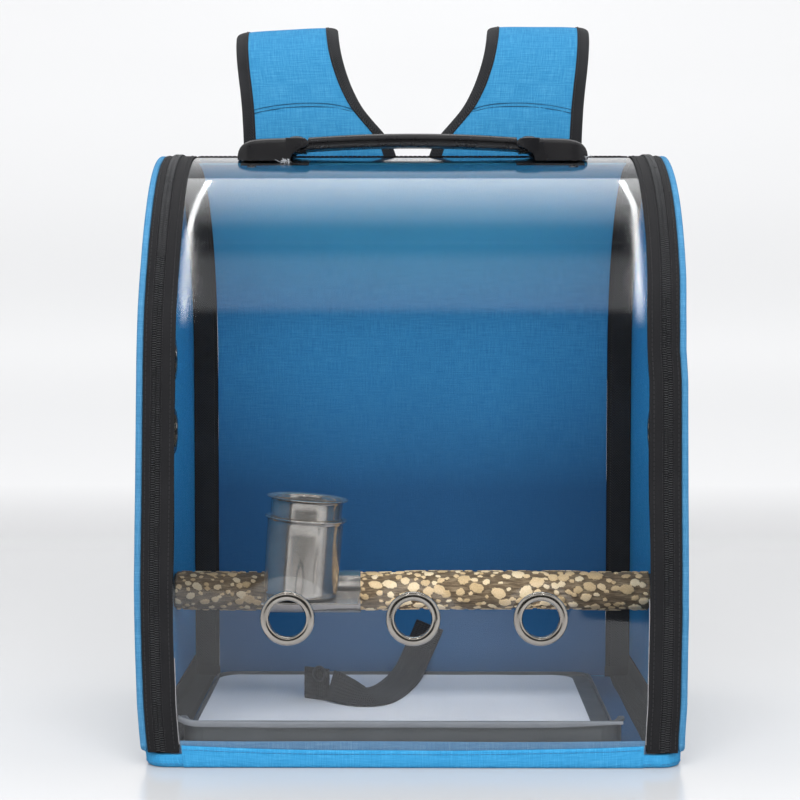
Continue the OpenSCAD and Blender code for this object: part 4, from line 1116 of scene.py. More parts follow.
# ------------------------------------------------------------------ tray and liner
soften("tray", m_tray, 0.5, 3)
xs = np.linspace(-149.5, 134.5, 110)
rings = []
for x in xs:
    curl = 3.4 * max(0.0, (-139.0 - x) / 10.5) ** 1.6
    w = 0.35 * float(wav(x, 0.0, 173, lo=0.02, hi=0.08))
    h = 3.6 * (1 - 0.55 * max(0.0, (x - 95) / 40.0))
    rings.append([(x, yy, zz + w + curl) for yy, zz in
                  [(-119.0, 27.3 - h), (-119.35, 27.5 - h * 0.6), (-119.3, 26.9), (-118.8, 27.55), (-117.6, 27.6), (-116.7, 27.35), (-117.4, 27.2),
                   (-118.35, 26.9), (-118.7, 26.2), (-118.75, 27.3 - h * 0.6), (-118.7, 27.3 - h)]])
rim = loft("tray_rim", np.array(rings), m_rim_highlit, sharp=50)
done(rim, "root", "black_plastic")
lx, ly = 133.3, 113.8
gu = np.linspace(-1, 1, 110)
gv = np.linspace(-1, 1, 96)


def squircle(u, v):
    """Maps a square onto a rectangle with rounded corners."""
    x, y = u * lx, v * ly
    r = 16.0
    ax, ay = abs(x) - (lx - r), abs(y) - (ly - r)
    if ax > 0 and ay > 0:
        m = max(ax, ay)
        h = math.hypot(ax, ay)
        x = math.copysign(lx - r + ax * m / h, x)
        y = math.copysign(ly - r + ay * m / h, y)
    return x, y


XY = np.array([[squircle(u, v) for v in gv] for u in gu])
up = 10.15 + 0.20 * np.clip(wav(XY[..., 0], XY[..., 1], 171, lo=0.02, hi=0.09), -0.6, 1)
edge = np.minimum(lx - np.abs(XY[..., 0]), ly - np.abs(XY[..., 1]))
up += 0.35 * np.exp(-edge / 4.0) * np.clip(wav(XY[..., 0], XY[..., 1], 172, lo=0.03, hi=0.1), 0, 1)
top = np.stack([XY[..., 0] - 12.3, XY[..., 1] + 2.0, up + 0.25], 2)
bot = np.stack([XY[..., 0] - 12.3, XY[..., 1] + 2.0, up - 0.25], 2)
liner = loft("tray_liner_sheet", np.concatenate([top, bot[:, ::-1]], 1), m_liner, sharp=60)
done(liner, "root", "liner_fabric", "tray_liner")

# ------------------------------------------------------------------ feeder
cup_m = Matrix.Translation((-76, -41.25, 96.8)) @ Matrix.Rotation(math.radians(4.5), 4, "Y")
holder = lathe("feeder_holder_cup", [
    (2.1, 0.0), (8, 0.02), (20.5, 0.05), (23.4, 0.25), (24.6, 1.0), (25.08, 2.3), (25.15, 4.0), (25.2, 14), (25.3, 28), (25.4, 42), (25.5, 49.4),
    (25.75, 50.5), (26.4, 51.3), (27.2, 51.75), (27.7, 52.25), (27.8, 52.75), (27.45, 53.1), (26.9, 53.05), (26.2, 52.5), (25.5, 51.8), (25.0, 51.0),
    (24.75, 49.8), (24.7, 42), (24.6, 28), (24.45, 4.5), (24.2, 2.4), (23.2, 1.1), (20, 0.75), (8, 0.72), (2.1, 0.7)],
    m_steel, cup_m, segs=112, closed_profile=True)
done(holder, "feeder", "steel", "feeder_holder")
cup_up = cup_m @ Matrix.Translation((0, 0, 2.1))
cup = lathe("feeder_food_cup", [
    (0.01, 0.02), (8, 0.0), (19, 0.05), (21.8, 0.3), (22.9, 1.1), (23.35, 2.4), (23.45, 6), (23.6, 20), (23.8, 40), (24.0, 57), (24.1, 61.2), (24.35, 62.3),
    (25.1, 63.1), (26.1, 63.45), (26.9, 63.6), (27.35, 63.95), (27.4, 64.3), (27.0, 64.55), (26.2, 64.45), (25.2, 64.1), (24.3, 63.6), (23.65, 62.8),
    (23.4, 61.2), (23.3, 56), (23.1, 40), (22.9, 20), (22.75, 4), (22.3, 1.9), (20.8, 0.95), (8, 0.72), (0.01, 0.7)],
    m_steel, cup_up, segs=112)
done(cup, "food_cup", "steel", "feeder_cup")
soften("feeder_rivet", m_steel, 0.25, 2)
soften("feeder_clip", m_steel, 0.3, 2, angle=40)

# ------------------------------------------------------------------ carry handle
HY, TOP = -20.0, 395.0


def arch_top(y):
    return float(arch_z(np.array(y, float), 0.0))


def under(x):
    return 399.25 - 3.05 * (x / 80.0) ** 2


def over(x):
    return 408.3 - 3.3 * (x / 80.0) ** 2


xs = np.concatenate([[-75.3, -74.6], np.linspace(-73.5, 73.5, 90), [74.6, 75.3]])
rings = []
for x in xs:
    lo = under(x) + 0.05
    hi = over(x) if abs(x) < 70.2 else min(over(70.2), 401.3 - (abs(x) - 70.4) * 0.96)
    hi = max(hi, lo + 0.5)
    r = min(3.3, (hi - lo) * 0.44)
    m_ = (lo + hi) / 2
    g = 0.9 if hi - lo > 6 else 0.0
    h = hi - lo
    sec = [(HY - 11 + r, lo)] + [(HY + 11 - r + r * math.sin(t), lo + r - r * math.cos(t)) for t in np.linspace(0, math.pi / 2, 5)]
    sec += [(HY + 11 - r + r * math.cos(t), hi - r + r * math.sin(t)) for t in np.linspace(0, math.pi / 2, 5)]
    # a low ridge along the top and a groove along the front
    sec += [(HY + 5.5, hi + 0.02), (HY + 4.6, hi - 0.5 * g), (HY + 3.7, hi), (HY - 3.7, hi), (HY - 4.6, hi - 0.5 * g), (HY - 5.5, hi + 0.02)]
    sec += [(HY - 11 + r - r * math.sin(t), hi - r + r * math.cos(t)) for t in np.linspace(0, math.pi / 2, 5)]
    sec += [(HY - 11, lo + 0.56 * h), (HY - 11 + g, lo + 0.50 * h), (HY - 11 + g, lo + 0.42 * h), (HY - 11, lo + 0.36 * h)]
    sec += [(HY - 11 + r - r * math.cos(t), lo + r - r * math.sin(t)) for t in np.linspace(0, math.pi / 2, 5)][:-1]
    rings.append([(x, a_, b_) for a_, b_ in sec])
grip = loft("handle_grip_body", np.array(rings), m_gloss, sharp=38)
done(grip, "grip", "gloss_black", "handle_grip")
for sn, s in SIDES:
    sec = rrect(HY - 7.8, HY + 7.8, TOP + 0.5, TOP + 2.9, 0.6, 2)
    tg = loft(f"grip_tongue_{sn}", np.array([[(s * x, a_, b_) for a_, b_ in sec] for x in np.linspace(72, 99.5, 5)]), m_gloss)
    done(tg, "grip", "gloss_black")
    st = [(118.0, 391.0, 0.0), (117.9, 394.0, 0.3), (117.4, 396.4, 0.8), (116.4, 398.7, 1.4), (114.7, 400.7, 2.0), (112.5, 402.2, 2.6), (109.8, 403.3, 3.0),
          (106.5, 404.1, 3.3), (102.7, 404.6, 3.5), (102.4, 404.65, 3.5), (96, 404.9, 3.5), (89, 405.1, 3.5), (84.5, 405.25, 3.5), (83.9, 405.3, 3.5), (82.5, 405.3, 3.4), (81.0, 405.35, 3.3),
          (79, 405.4, 3.1), (76.5, 405.4, 2.6), (74.6, 405.3, 1.9), (73.0, 405.05, 1.2), (72.2, 404.85, 0.6)]
    rings = []
    for x, top, r in st:
        pocket = 66.0 <= x <= 102.5
        lip = 381.0 if x >= 84 else 381 + (84 - x) * 5.0 if x >= 81 else 396 + (81 - x) / 1.02
        y0, y1 = HY - 14, HY + 14
        shrink = 0.0 if x < 110 else (x - 110) * 0.28
        y0, y1 = y0 + shrink, y1 - shrink

        def foot(yv):
            return max(arch_top(yv) + 0.02, min(lip, top - 0.25))

        r = max(r, 0.15)
        sh = max(top - r, foot(y0) + 0.05)
        sh1 = max(top - r, foot(y1) + 0.05)
        sec = [(y0, foot(y0)), (y0, foot(y0) * 0.5 + sh * 0.5)] + [(y0 + r - r * math.cos(t), sh + (top - sh) * math.sin(t)) for t in np.linspace(0, math.pi / 2, 6)]
        sec += [(HY - 4, top + 0.25), (HY + 4, top + 0.25)]
        sec += [(y1 - r + r * math.sin(t), sh1 + (top - sh1) * math.cos(t)) for t in np.linspace(0, math.pi / 2, 6)] + [(y1, foot(y1) * 0.5 + sh1 * 0.5), (y1, foot(y1))]
        iy0, iy1 = HY - 8.9, HY + 8.9
        roof = min(403.0, top - 0.4) if pocket else None
        if roof is None:
            sec += [(iy1, foot(iy1)), (iy1, foot(iy1) + 0.02), (iy0, foot(iy0) + 0.02), (iy0, foot(iy0))]
        else:
            sec += [(iy1, foot(iy1)), (iy1, max(roof, foot(iy1) + 0.02)), (iy0, max(roof, foot(iy0) + 0.02)), (iy0, foot(iy0))]
        rings.append([(s * x, a_, b_) for a_, b_ in sec])
    cap_ = loft(f"handle_cap_body_{sn}", np.array(rings), m_gloss, sharp=36)
    done(cap_, "root", "gloss_black", f"handle_cap_{sn}")
    # cheeks of the cap, on both sides of the grip's end
    face = np.array([(85.5, 391.5), (84.2, 391.6), (80.5, 394.6), (76.2, 397.6), (71.2, 399.4), (69.9, 401.0), (70.2, 402.8), (71.6, 404.3),
                     (74.0, 405.1), (77.0, 405.3), (85.5, 405.2)])
    cen = np.array([78.5, 399.5])
    for nm, ya, yb in (("front", HY - 14.02, HY - 11.4), ("rear", HY + 11.4, HY + 14.02)):
        rings = []
        for yv, k in ((ya, 0.93), (ya + 0.35, 0.985), (ya + 0.8, 1.0), (yb - 0.5, 1.0), (yb, 0.98)) if nm == "front" else \
                ((ya, 0.98), (ya + 0.5, 1.0), (yb - 0.8, 1.0), (yb - 0.35, 0.985), (yb, 0.93)):
            q2 = cen + (face - cen) * k
            rings.append([(s * a_, yv, b_) for a_, b_ in q2])
        ck = loft(f"handle_cheek_{nm}_{sn}", np.array(rings), m_gloss, sharp=40)
        done(ck, "root", "gloss_black")
    nub = lathe(f"handle_nub_{sn}", [(0.02, 2.0), (1.6, 1.85), (2.9, 1.4), (3.7, 0.7), (4.0, 0.0), (3.9, -0.6), (0.02, -0.6)], m_gloss,
                Matrix.Translation((s * 78.5, HY - 6.5, 405.2)) @ Matrix.Diagonal((1.25, 1.0, 0.8, 1.0)), segs=32)
    done(nub, "root", "gloss_black")
soften("handle_backing", m_matte, 0.4, 2)
soften("handle_screws", m_screw, 0.3, 2)
m_tuft = tape("white_thread", base=(0.60, 0.62, 0.66), light=(0.80, 0.82, 0.86), pitch=0.0004, coords="Object", rough=0.6)
rt = np.random.RandomState(5)
o_, a_, b_, c_ = [], [], [], []
for cxm, czm, n_ in ((-84.5, 389.4, 13), (-89.0, 389.2, 4), (118.3, 391.5, 4)):
    for _ in range(n_):
        d = rt.normal(0, 1, 3) * [1, 0.35, 1]
        d /= np.linalg.norm(d)
        e1 = np.cross(d, [0.3, 1, 0.2])
        e1 /= np.linalg.norm(e1)
        o_.append(np.array([cxm, -36.6, czm]) + rt.uniform(-1, 1, 3) * [2.2, 0.5, 1.0])
        a_.append(d)
        b_.append(e1)
        c_.append(np.cross(d, e1))
tuft = instances("thread_ends", capsule(3.4, 0.13, 5), np.array(o_), np.array(a_), np.array(b_), np.array(c_), m_tuft)
done(tuft, "root", "black_webbing")

# ------------------------------------------------------------------ shoulder straps
STRAP = [[16.5, 394.8, 118, 11], [17, 404, 118, 14.6], [18, 412, 118.3, 20], [19.5, 420, 118.8, 27],
         [21.5, 429, 119.3, 34.5], [24.5, 440, 120, 41], [28.5, 452, 121, 46], [34, 464, 122, 49.5],
         [42, 475, 123, 51.5], [52, 482, 123.5, 52.5], [64, 484, 123.5, 53], [77, 481, 123.5, 53],
         [91, 472, 123.5, 53], [106, 457, 123, 53], [121, 436, 123, 53], [135, 409, 122.5, 53.5],
         [147, 376, 122, 54], [156, 340, 121.5, 54.5], [161, 304, 121, 55], [162.5, 268, 120.5, 55.5],
         [161, 240, 118, 58], [159, 222, 110, 66], [158, 212, 102, 74]]
sp = np.array([[0, r[0], r[1], r[2], r[3]] for r in STRAP], float)
_k = np.clip((sp[:, 2] - 420) / 50.0, 0, 1)
_k = _k * _k * (3 - 2 * _k)
sp[:, 2] += 4.4 * _k
sp[:, 3] += 2.2 * _k
sp[:, 4] += 0.8 * _k
sc = spline(sp, 190)
YZ = sc[:, 1:3]
Tn = np.gradient(YZ, axis=0)
Tn /= np.linalg.norm(Tn, axis=1)[:, None]
Nyz = np.column_stack([-Tn[:, 1], Tn[:, 0]])  # the outer side: forwards at the foot of the strap, up at its top
slen = np.concatenate([[0], np.cumsum(np.linalg.norm(np.diff(YZ, axis=0), axis=1))])


def strap_piece(name, s, mats, lat, hgt, fm, **kw):
    """Rings across the strap: lat is -1 at the outer edge and 1 at the inner one, hgt is in mm from its middle."""
    mid = (sc[:, 3] + sc[:, 4]) / 2
    half = (sc[:, 3] - sc[:, 4]) / 2
    rings = []
    for i in range(len(sc)):
        la, hg = lat(i, half[i]), hgt(i, half[i])
        x = mid[i] - la
        yy = YZ[i, 0] + Nyz[i, 0] * hg
        zz = YZ[i, 1] + Nyz[i, 1] * hg
        # the fold at the top leans outwards a little on the left strap
        lean = (4.2 if s < 0 else 0.6) * np.exp(-((YZ[i, 1] - 484) / 34.0) ** 2) * np.clip((x - 50) / 74.0, 0, 1)
        rings.append(np.column_stack([s * x, yy, zz - lean]))
    return loft(name, np.array(rings), mats, face_mats=fm, **kw)


for sn, s in SIDES:
    nlat = 26
    u = np.linspace(-1, 1, nlat)
    # padded body: crowned top and underside between the bindings
    taper = np.clip(slen / 26.0, 0, 1) * 0.45 + 0.55
    taper = np.minimum(taper, np.clip((slen[-1] - slen) / 26.0, 0, 1) * 0.55 + 0.45)
    taper = np.where(slen < 2, 0.42, taper)

    def lat_body(i, half):
        w = half - 0.9
        return np.concatenate([u * w, u[::-1] * w])

    def hgt_body(i, half, s=s):
        crown = (1 - np.abs(u) ** 5) ** 0.5
        ripple = 0.16 * wav(slen[i] + 0 * u, u * 30, 181 + s, lo=0.03, hi=0.14)
        seam = 1.0 * np.exp(-((slen[i] - (31 + 5 * (1 - np.abs(u - 0.15) ** 2))) / 1.1) ** 2)
        a = (1.5 + 2.6 * crown) * taper[i] + ripple - seam * 0.9
        b = (1.5 + 2.6 * crown) * taper[i] + 0.5 * ripple
        return np.concatenate([a, -b[::-1]])

    fm = np.array([0] * (nlat - 1) + [1] + [1] * (nlat - 1) + [0])
    bodyp = strap_piece(f"strap_pad_{sn}", s, [m_strap, m_mesh], lat_body, hgt_body, fm, sharp=0)
    done(bodyp, "root", "blue_fabric", *(["straps"] if s < 0 else []))
    # sewn line that curves across the foot of the strap, in two threads
    for ln_i, dS in enumerate((0.0, 2.3)):
        rings = []
        for uu in np.linspace(-0.93, 0.93, 60):
            S0 = 31 + dS + 5 * (1 - (uu - 0.15) ** 2) - (3.2 * np.clip((uu - 0.45) / 0.5, 0, 1) ** 2)
            cr = (1.5 + 2.6 * (1 - abs(uu) ** 5) ** 0.5) - 0.42 * (ln_i == 0)
            ring = []
            for ds, dh in ((-0.30, -0.35), (-0.20, 0.12), (0.20, 0.12), (0.30, -0.35)):
                q = [float(np.interp(S0 + ds, slen, v)) for v in (YZ[:, 0], YZ[:, 1], Nyz[:, 0], Nyz[:, 1], (sc[:, 3] + sc[:, 4]) / 2, (sc[:, 3] - sc[:, 4]) / 2)]
                h_ = cr + dh
                ring.append((s * (q[4] - uu * (q[5] - 0.9)), q[0] + q[2] * h_, q[1] + q[3] * h_))
            rings.append(ring)
        sl = loft(f"strap_foot_seam_{ln_i}_{sn}", np.array(rings), m_strap_line)
        done(sl, "root", "blue_fabric")
    # binding folded over each long edge
    for en, es in (("outer", -1), ("inner", 1)):
        sec_a = np.array([-8.6, -6.5, -4.0, -1.8, -0.5, 0.1, 0.1, -0.5, -1.8, -4.0, -6.5, -8.6, -8.4, -6.5, -4.0, -1.8, -1.8, -4.0, -6.5, -8.4])

        def lat_bind(i, half, es=es):
            base_w = sec_a[:12]
            inn = sec_a[12:]
            w = 0.22 * float(wav(slen[i], es * 9.0, 191 + s, lo=0.02, hi=0.08))
            return es * (half + np.concatenate([base_w, inn]) + w * (np.concatenate([base_w, inn]) < -6))

        def hgt_bind(i, half):
            t = taper[i]
            up_ = lambda a: (1.5 + 2.6 * (1 - np.clip(np.abs((half + a) / (half - 0.9)), 0, 1) ** 5) ** 0.5) * t
            o = np.array([up_(a) + 0.42 for a in sec_a[:6]])
            o[4] = min(o[4], 2.0 * t + 0.5)
            o[5] = 0.9 * t
            inn = np.array([up_(a) + 0.02 for a in (-8.4, -6.5, -4.0, -1.8)])
            return np.concatenate([o, -o[::-1], -inn, inn[::-1]])

        bd = strap_piece(f"strap_binding_{en}_{sn}", s, [m_bind], lat_bind, hgt_bind, None, sharp=60)
        done(bd, "root", "black_webbing")
        rows = []
        for off in (7.2,):
            C = []
            for i in range(len(sc)):
                half = (sc[i, 3] - sc[i, 4]) / 2
                mid = (sc[i, 3] + sc[i, 4]) / 2
                la = es * (half - off)
                h = (1.5 + 2.6 * (1 - min(1, abs((half - off) / (half - 0.9))) ** 5) ** 0.5) * taper[i] + 0.5
                x = mid - la
                lean = (4.2 if s < 0 else 0.6) * math.exp(-((YZ[i, 1] - 484) / 34.0) ** 2) * min(1, max(0, (x - 50) / 74.0))
                C.append((s * x, YZ[i, 0] + Nyz[i, 0] * h, YZ[i, 1] + Nyz[i, 1] * h - lean))
            rows.append(stitch_row(f"strap_stitches_{en}_{sn}", np.array(C)[3:-3], np.column_stack([0 * Nyz[:, 0], Nyz])[3:-3],
                                   m_thread, pitch=3.2, length=2.5, r=0.28))
        done(rows[0], "root", "black_webbing")
    soft = None

# yoke where the straps join the back, behind the seam tape
for sn, s in SIDES:
    x0, x1 = (min(s * 10.5, s * 123.6), max(s * 10.5, s * 123.6))
    yk = hoop(f"yoke_{sn}", rrect(x0, x1, -0.6, 0.95, 0.6, 3, sub_a=40), float(s_at_y(11.6)), float(s_at_y(51.5)), m_blue, step=2,
              shape=lambda S, X, O, s=s: (X, O + 0.22 * wav(X, S, 201 + s, lo=0.03, hi=0.12) * (O < 0)), pulled=False)
    done(yk, "root", "blue_fabric", *(["yoke_panel"] if s < 0 else []))
    rows = []
    for i, yv in enumerate((15.0, 48.5)):
        s0 = float(s_at_y(yv))
        y0, z0, ny0, nz0 = (float(q[0]) for q in prof(s0))
        xs = np.linspace(x0 + 3, x1 - 3, 60)
        C = np.column_stack([xs, np.full(60, y0 + 0.7 * ny0), np.full(60, z0 + 0.7 * nz0)])
        rows.append(stitch_row(f"yk{i}", C, np.repeat([[0, ny0, nz0]], 60, 0), m_thread_blue, pitch=3.2, length=2.5, r=0.28))
    for xx in (x0 + 3, x1 - 3):
        C, Nn = hoop_line(xx, -0.75, float(s_at_y(15)), float(s_at_y(48.5)), pulled=False)
        rows.append(stitch_row("yks", C, Nn, m_thread_blue, pitch=3.2, length=2.5, r=0.28))
    done(join(f"yoke_stitches_{sn}", rows), "root", "blue_fabric")

# lower webbing and ladder locks
WEB = [[88.3, 158, 194.7], [88.4, 158, 188], [91, 157.5, 180], [96, 156, 156], [103, 153, 128], [111, 148, 98],
       [119, 142, 68], [126, 136, 44], [130, 132.6, 30], [131, 131.6, 16]]
for sn, s in SIDES:
    w = spline(np.array([[s * a, b, c] for a, b, c in WEB]), 90)
    T, S_, N_ = frames(w, up=(0, 1, 0))
    wb = sweep(f"lower_webbing_{sn}", w, S_, N_, rrect(-12.3, 12.3, -0.75, 0.75, 0.5, 3, sub_a=10), m_web)
    done(wb, "root", "black_webbing", *(["strap_webbing"] if s < 0 else []))
    # the turn of webbing through the ladder lock, and its free tail
    wz = [[192, 158.3], [196, 160.6], [199.5, 161.6], [202.6, 160.9], [204.6, 157.8], [206.4, 154.8], [209.5, 154.3], [213, 155.2], [217, 156.6]]
    pl = spline(np.array([[s * 88.3, b, a] for a, b in wz]), 40)
    T, S_, N_ = frames(pl, side=np.repeat([[1.0, 0, 0]], 40, 0))
    t2 = sweep(f"buckle_webbing_{sn}", pl, S_, N_, rrect(-12.3, 12.3, -0.6, 0.6, 0.4, 3, sub_a=8), m_web)
    done(t2, "root", "black_webbing")
    C = np.column_stack([np.linspace(s * 120, s * 141, 30), np.full(30, 132.8), np.full(30, 27.0)])
soften("strap_buckles", m_matte, 0.8, 3)

# ------------------------------------------------------------------ back pad: a swollen mesh cushion
pad_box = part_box("back_pad")


def rounded_pad(wx, wz, r, y0, y1, n=10):
    p = rrect(-wx, wx, -wz, wz, r, n, sub_a=36, sub_b=44)
    return p


def make_pad():
    half_x, half_z, zc = 114.0, 130.0, 190.0
    outline = rrect(-half_x, half_x, -half_z, half_z, 26, 10, sub_a=36, sub_b=44)
    rings = []
    for f, yv in [(0.02, 129.3), (0.5, 129.3), (0.9, 129.3), (0.985, 129.6), (1.0, 130.6), (1.0, 133.0), (0.985, 134.2), (0.95, 134.8), (0.85, 135.0),
                  (0.65, 135.1), (0.4, 135.2), (0.2, 135.2), (0.02, 135.2)]:
        rings.append(np.column_stack([outline[:, 0] * f, np.full(len(outline), yv), zc + outline[:, 1] * f]))
    ob = loft("back_pad_mesh", np.array(rings), m_mesh, sharp=0)
    rm = ob.modifiers.new("remesh", "REMESH")
    rm.mode = "VOXEL"
    rm.voxel_size = 0.0048
    bpy.context.view_layer.update()
    dg = bpy.context.evaluated_depsgraph_get()
    me = bpy.data.meshes.new_from_object(ob.evaluated_get(dg))
    ob.modifiers.clear()
    ob.data = me
    rest = np.array([v.co for v in me.vertices])
    vg = ob.vertex_groups.new(name="pin")
    hold = [v.index for v in me.vertices if v.co.y < 0.1300]
    vg.add(hold, 1.0, "REPLACE")
    # the sewn channels are held down
    ch = [v.index for v in me.vertices
          if v.co.y >= 0.1300 and (min(abs(v.co.z - zz) for zz in (0.118, 0.190, 0.262)) < 0.0032 or abs(v.co.x) < 0.0)]
    vg.add(ch, 0.92, "REPLACE")
    cl = ob.modifiers.new("cloth", "CLOTH")
    st = cl.settings
    st.quality = 5
    st.mass = 0.3
    st.tension_stiffness = st.compression_stiffness = 12
    st.bending_stiffness = 0.6
    st.use_pressure = True
    st.uniform_pressure_force = 4.0
    st.effector_weights.gravity = 0.0
    st.vertex_group_mass = "pin"
    cl.point_cache.frame_start = 1
    cl.point_cache.frame_end = 20
    sc_ = bpy.context.scene
    for f in range(1, 21):
        sc_.frame_set(f)
    dg = bpy.context.evaluated_depsgraph_get()
    ev = ob.evaluated_get(dg)
    new = np.array([v.co for v in ev.data.vertices])
    move = new - rest
    ln = np.linalg.norm(move, axis=1)
    cap = 0.0045
    move *= np.minimum(1, cap / np.maximum(ln, 1e-9))[:, None]
    co = rest + move
    co[:, 1] = np.clip(co[:, 1], 0.12925, 0.1386)
    ob.modifiers.clear()
    sc_.frame_set(1)
    me.vertices.foreach_set("co", co.astype(np.float32).ravel())
    me.update()
    ob.vertex_groups.clear()
    # seams pressed in after the swelling
    me = ob.data
    co = np.array([v.co for v in me.vertices])
    out = co[:, 1] > 0.1325
    for zz in (0.118, 0.190, 0.262):
        co[:, 1] -= np.where(out, 0.0018 * np.exp(-((co[:, 2] - zz) / 0.0030) ** 2), 0)
    me.vertices.foreach_set("co", co.astype(np.float32).ravel())
    me.polygons.foreach_set("use_smooth", np.ones(len(me.polygons), bool))
    if not me.materials:
        me.materials.append(m_mesh)
    sub = ob.modifiers.new("smooth", "SUBSURF")
    sub.levels = sub.render_levels = 1
    me.update()
    return ob


pad = make_pad()
done(pad, "root", "mesh_fabric", "back_pad")
# binding round the pad
ol = rrect(-116.3, 116.3, -132.3, 132.3, 27, 12, sub_a=50, sub_b=60)
C = np.column_stack([ol[:, 0], np.full(len(ol), 130.9), 190 + ol[:, 1]])
T = np.roll(C, -1, 0) - np.roll(C, 1, 0)
T /= np.linalg.norm(T, axis=1)[:, None]
S1 = np.repeat([[0, 1.0, 0]], len(C), 0)
N1 = np.cross(S1, T)
ang = np.linspace(0, 2 * math.pi, 12, endpoint=False)
sec = np.column_stack([2.0 * np.cos(ang), 2.7 * np.sin(ang)])
Pp = C[:, None] + S1[:, None] * sec[None, :, :1] + N1[:, None] * sec[None, :, 1:]
pb = loft("back_pad_binding", Pp, m_bind, loop=True, caps=False, sharp=0)
done(pb, "root", "black_tape")

# ------------------------------------------------------------------ stage, world and lights


def stage_material(name, base, dark, emit):
    mt = Mat(name, Roughness=0.20)
    mt.b.inputs["Specular IOR Level"].default_value = 0.5
    co = mt.coord("Object")
    n = mt.noise(co, 3.0, 3, 0.5)
    mt.set(Base_Color=mt.mix(n, base, dark))
    mt.b.inputs["Emission Color"].default_value = (1, 1, 1, 1)
    _, _, z = mt.xyz(co)
    mt.put(mt.b.inputs["Emission Strength"], mt.math("ADD", mt.maprange(z, 0.0, 0.050, emit[0], emit[1]), mt.maprange(z, 0.14, 0.7, 0.0, 0.165)))
    return mt.m


q = []
for yv in (-1.0, -0.3, 0.9):
    q.append((yv, 0.0))
for a in np.linspace(0, 90, 14)[1:]:
    q.append((0.9 + 0.8 * math.sin(math.radians(a)), 0.8 - 0.8 * math.cos(math.radians(a))))
q.append((1.7, 3.4))
xs = np.array([-3.4, -2.4, -1.4, -0.5, -0.3, 0.0, 0.3, 0.5, 1.4, 2.4, 3.4])
P = np.array([[(x * 1000, a * 1000, b * 1000 - 0.02) for x in xs] for a, b in q])
P[0, :, 1] = np.clip(-869 + (P[0, :, 0] + 236) * 205 / 446, -960, -600)  # its front edge is a little askew
floor = loft("studio_sweep", P, stage_material("studio_sweep", (0.49, 0.493, 0.502), (0.475, 0.478, 0.487), (0.03, 0.335)), wrap=False, caps=False, closed=False, sharp=0)

world = bpy.data.worlds.new("studio")
bpy.context.scene.world = world
world.use_nodes = True
wt = world.node_tree
wt.nodes.clear()
wo = wt.nodes.new("ShaderNodeOutputWorld")


def wnode(kind, **attrs):
    n = wt.nodes.new(kind)
    for k, v in attrs.items():
        setattr(n, k, v)
    return n


tc_ = wnode("ShaderNodeTexCoord")
sep = wnode("ShaderNodeSeparateXYZ")
wt.links.new(tc_.outputs["Generated"], sep.inputs[0])
neg = wnode("ShaderNodeMath", operation="MULTIPLY")
wt.links.new(sep.outputs[1], neg.inputs[0])
neg.inputs[1].default_value = -1
at = wnode("ShaderNodeMath", operation="ARCTAN2")
wt.links.new(sep.outputs[2], at.inputs[0])
wt.links.new(neg.outputs[0], at.inputs[1])
fr_ = wnode("ShaderNodeMapRange")
wt.links.new(at.outputs[0], fr_.inputs[0])
fr_.inputs[1].default_value = 0.0
fr_.inputs[2].default_value = math.pi
cr = wnode("ShaderNodeValToRGB")
wt.links.new(fr_.outputs[0], cr.inputs[0])
stops = [(0, 0.04), (28, 0.07), (32.5, 0.80), (47, 0.76), (55, 0.68), (60, 0.30), (63, 0.10), (65.3, 0.12), (66.2, 0.34), (67.4, 0.14),
         (74, 0.19), (78, 0.50), (82, 1.05), (87, 1.55), (91, 2.0), (96, 2.6), (103, 3.1), (112, 3.3), (140, 2.4), (180, 0.95)]
fill_ramp(cr, [(p / 180.0, c) for p, c in stops])
# the side walls of the studio
ab = wnode("ShaderNodeMath", operation="ABSOLUTE")
wt.links.new(sep.outputs[0], ab.inputs[0])
sd = wnode("ShaderNodeMapRange", interpolation_type="SMOOTHSTEP")
wt.links.new(ab.outputs[0], sd.inputs[0])
sd.inputs[1].default_value = 0.50
sd.inputs[2].default_value = 0.72
mx = wnode("ShaderNodeMix", data_type="RGBA")
wt.links.new(sd.outputs[0], mx.inputs[0])
wt.links.new(cr.outputs[0], mx.inputs[6])
mx.inputs[7].default_value = (0.95, 0.96, 0.98, 1)
bg = wnode("ShaderNodeBackground")
wt.links.new(mx.outputs[2], bg.inputs[0])
bg.inputs[1].default_value = 1.0
bg2 = wnode("ShaderNodeBackground")
bg2.inputs[0].default_value = (0.90, 0.905, 0.915, 1)
lp = wnode("ShaderNodeLightPath")
ms = wnode("ShaderNodeMixShader")
wt.links.new(lp.outputs["Is Camera Ray"], ms.inputs[0])
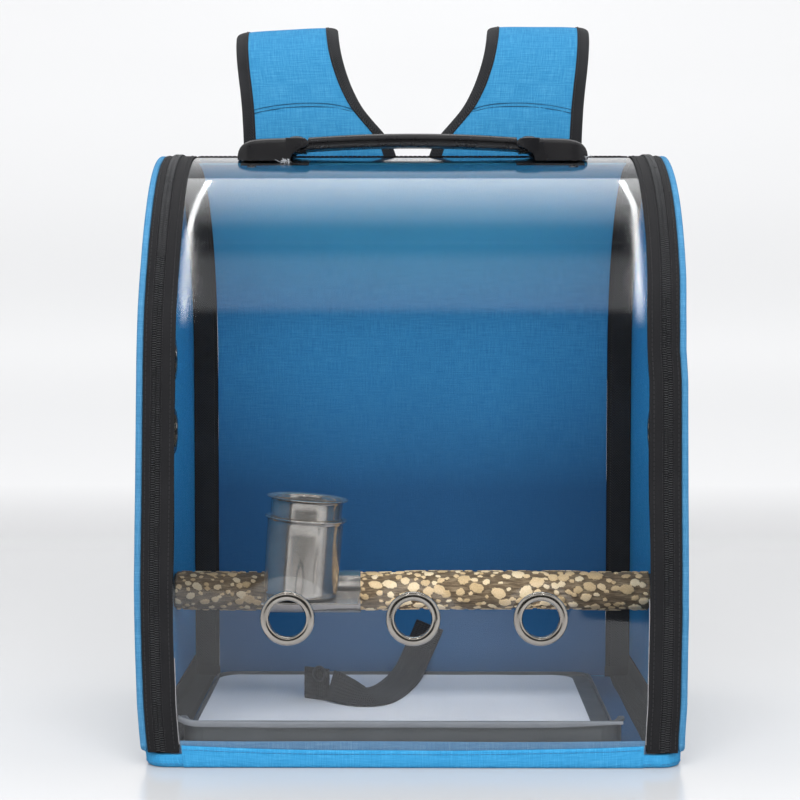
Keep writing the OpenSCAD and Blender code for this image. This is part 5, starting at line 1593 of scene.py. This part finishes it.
wt.links.new(bg.outputs[0], ms.inputs[1])
wt.links.new(bg2.outputs[0], ms.inputs[2])
wt.links.new(ms.outputs[0], wo.inputs[0])


def emitter(name, P, strength):
    mt = Mat(name)
    mt.nt.nodes.remove(mt.b)
    em = mt.node("ShaderNodeEmission")
    _, _, z = mt.xyz(mt.coord("Object"))
    mt.put(em.inputs[1], mt.maprange(z, 0.74, 1.00, strength * 0.05, strength))
    mt.put(mt.out.inputs[0], em.outputs[0])
    o = loft(name, P, mt.m, wrap=False, caps=False, closed=False, sharp=0)
    o.visible_camera = False
    o.visible_shadow = False
    return o


# two long strip lights from beside the camera up over the carrier
ARC_L = [[283, -1262, 524], [283, -1120, 900], [286.5, -839, 1296], [293, -420, 1590], [293, 0, 1710], [293, 272, 1739], [291, 620, 1690]]
ARC_R = [[282, -1262, 524], [283, -1120, 900], [287, -839, 1296], [294, -420, 1590], [300, 0, 1710], [300, 272, 1739], [299, 620, 1690]]
for sn, s in SIDES:
    rows = [[(s * x - 3.8, b, c), (s * x + 3.8, b, c)] for x, b, c in spline(np.array(ARC_L if s < 0 else ARC_R, float), 52)[4:]]
    emitter(f"strip_light_{sn}", np.array(rows), 14.0)



def area(name, loc, target, size, watts, glossy=False):
    d = bpy.data.lights.new(name, "AREA")
    d.shape = "RECTANGLE"
    d.size, d.size_y = size
    d.energy = watts
    o = bpy.data.objects.new(name, d)
    o.location = loc
    o.rotation_euler = (Vector(target) - Vector(loc)).to_track_quat("-Z", "Y").to_euler()
    o.visible_glossy = glossy
    o.visible_camera = False
    bpy.context.scene.collection.objects.link(o)
    return o


# the front softbox that lights the cabin through the clear sheet; what it shows in the sheet is in the world's gradient
area("key_softbox", (0, -1.25, 1.35), (0, 0.0, 0.25), (1.5, 0.9), 34.0)
area("front_fill", (0, -1.9, 0.42), (0, 0.0, 0.22), (1.8, 0.7), 14.0)

scn = bpy.context.scene
scn.view_settings.view_transform = "Standard"
scn.view_settings.look = "None"
scn.view_settings.exposure = 0.0

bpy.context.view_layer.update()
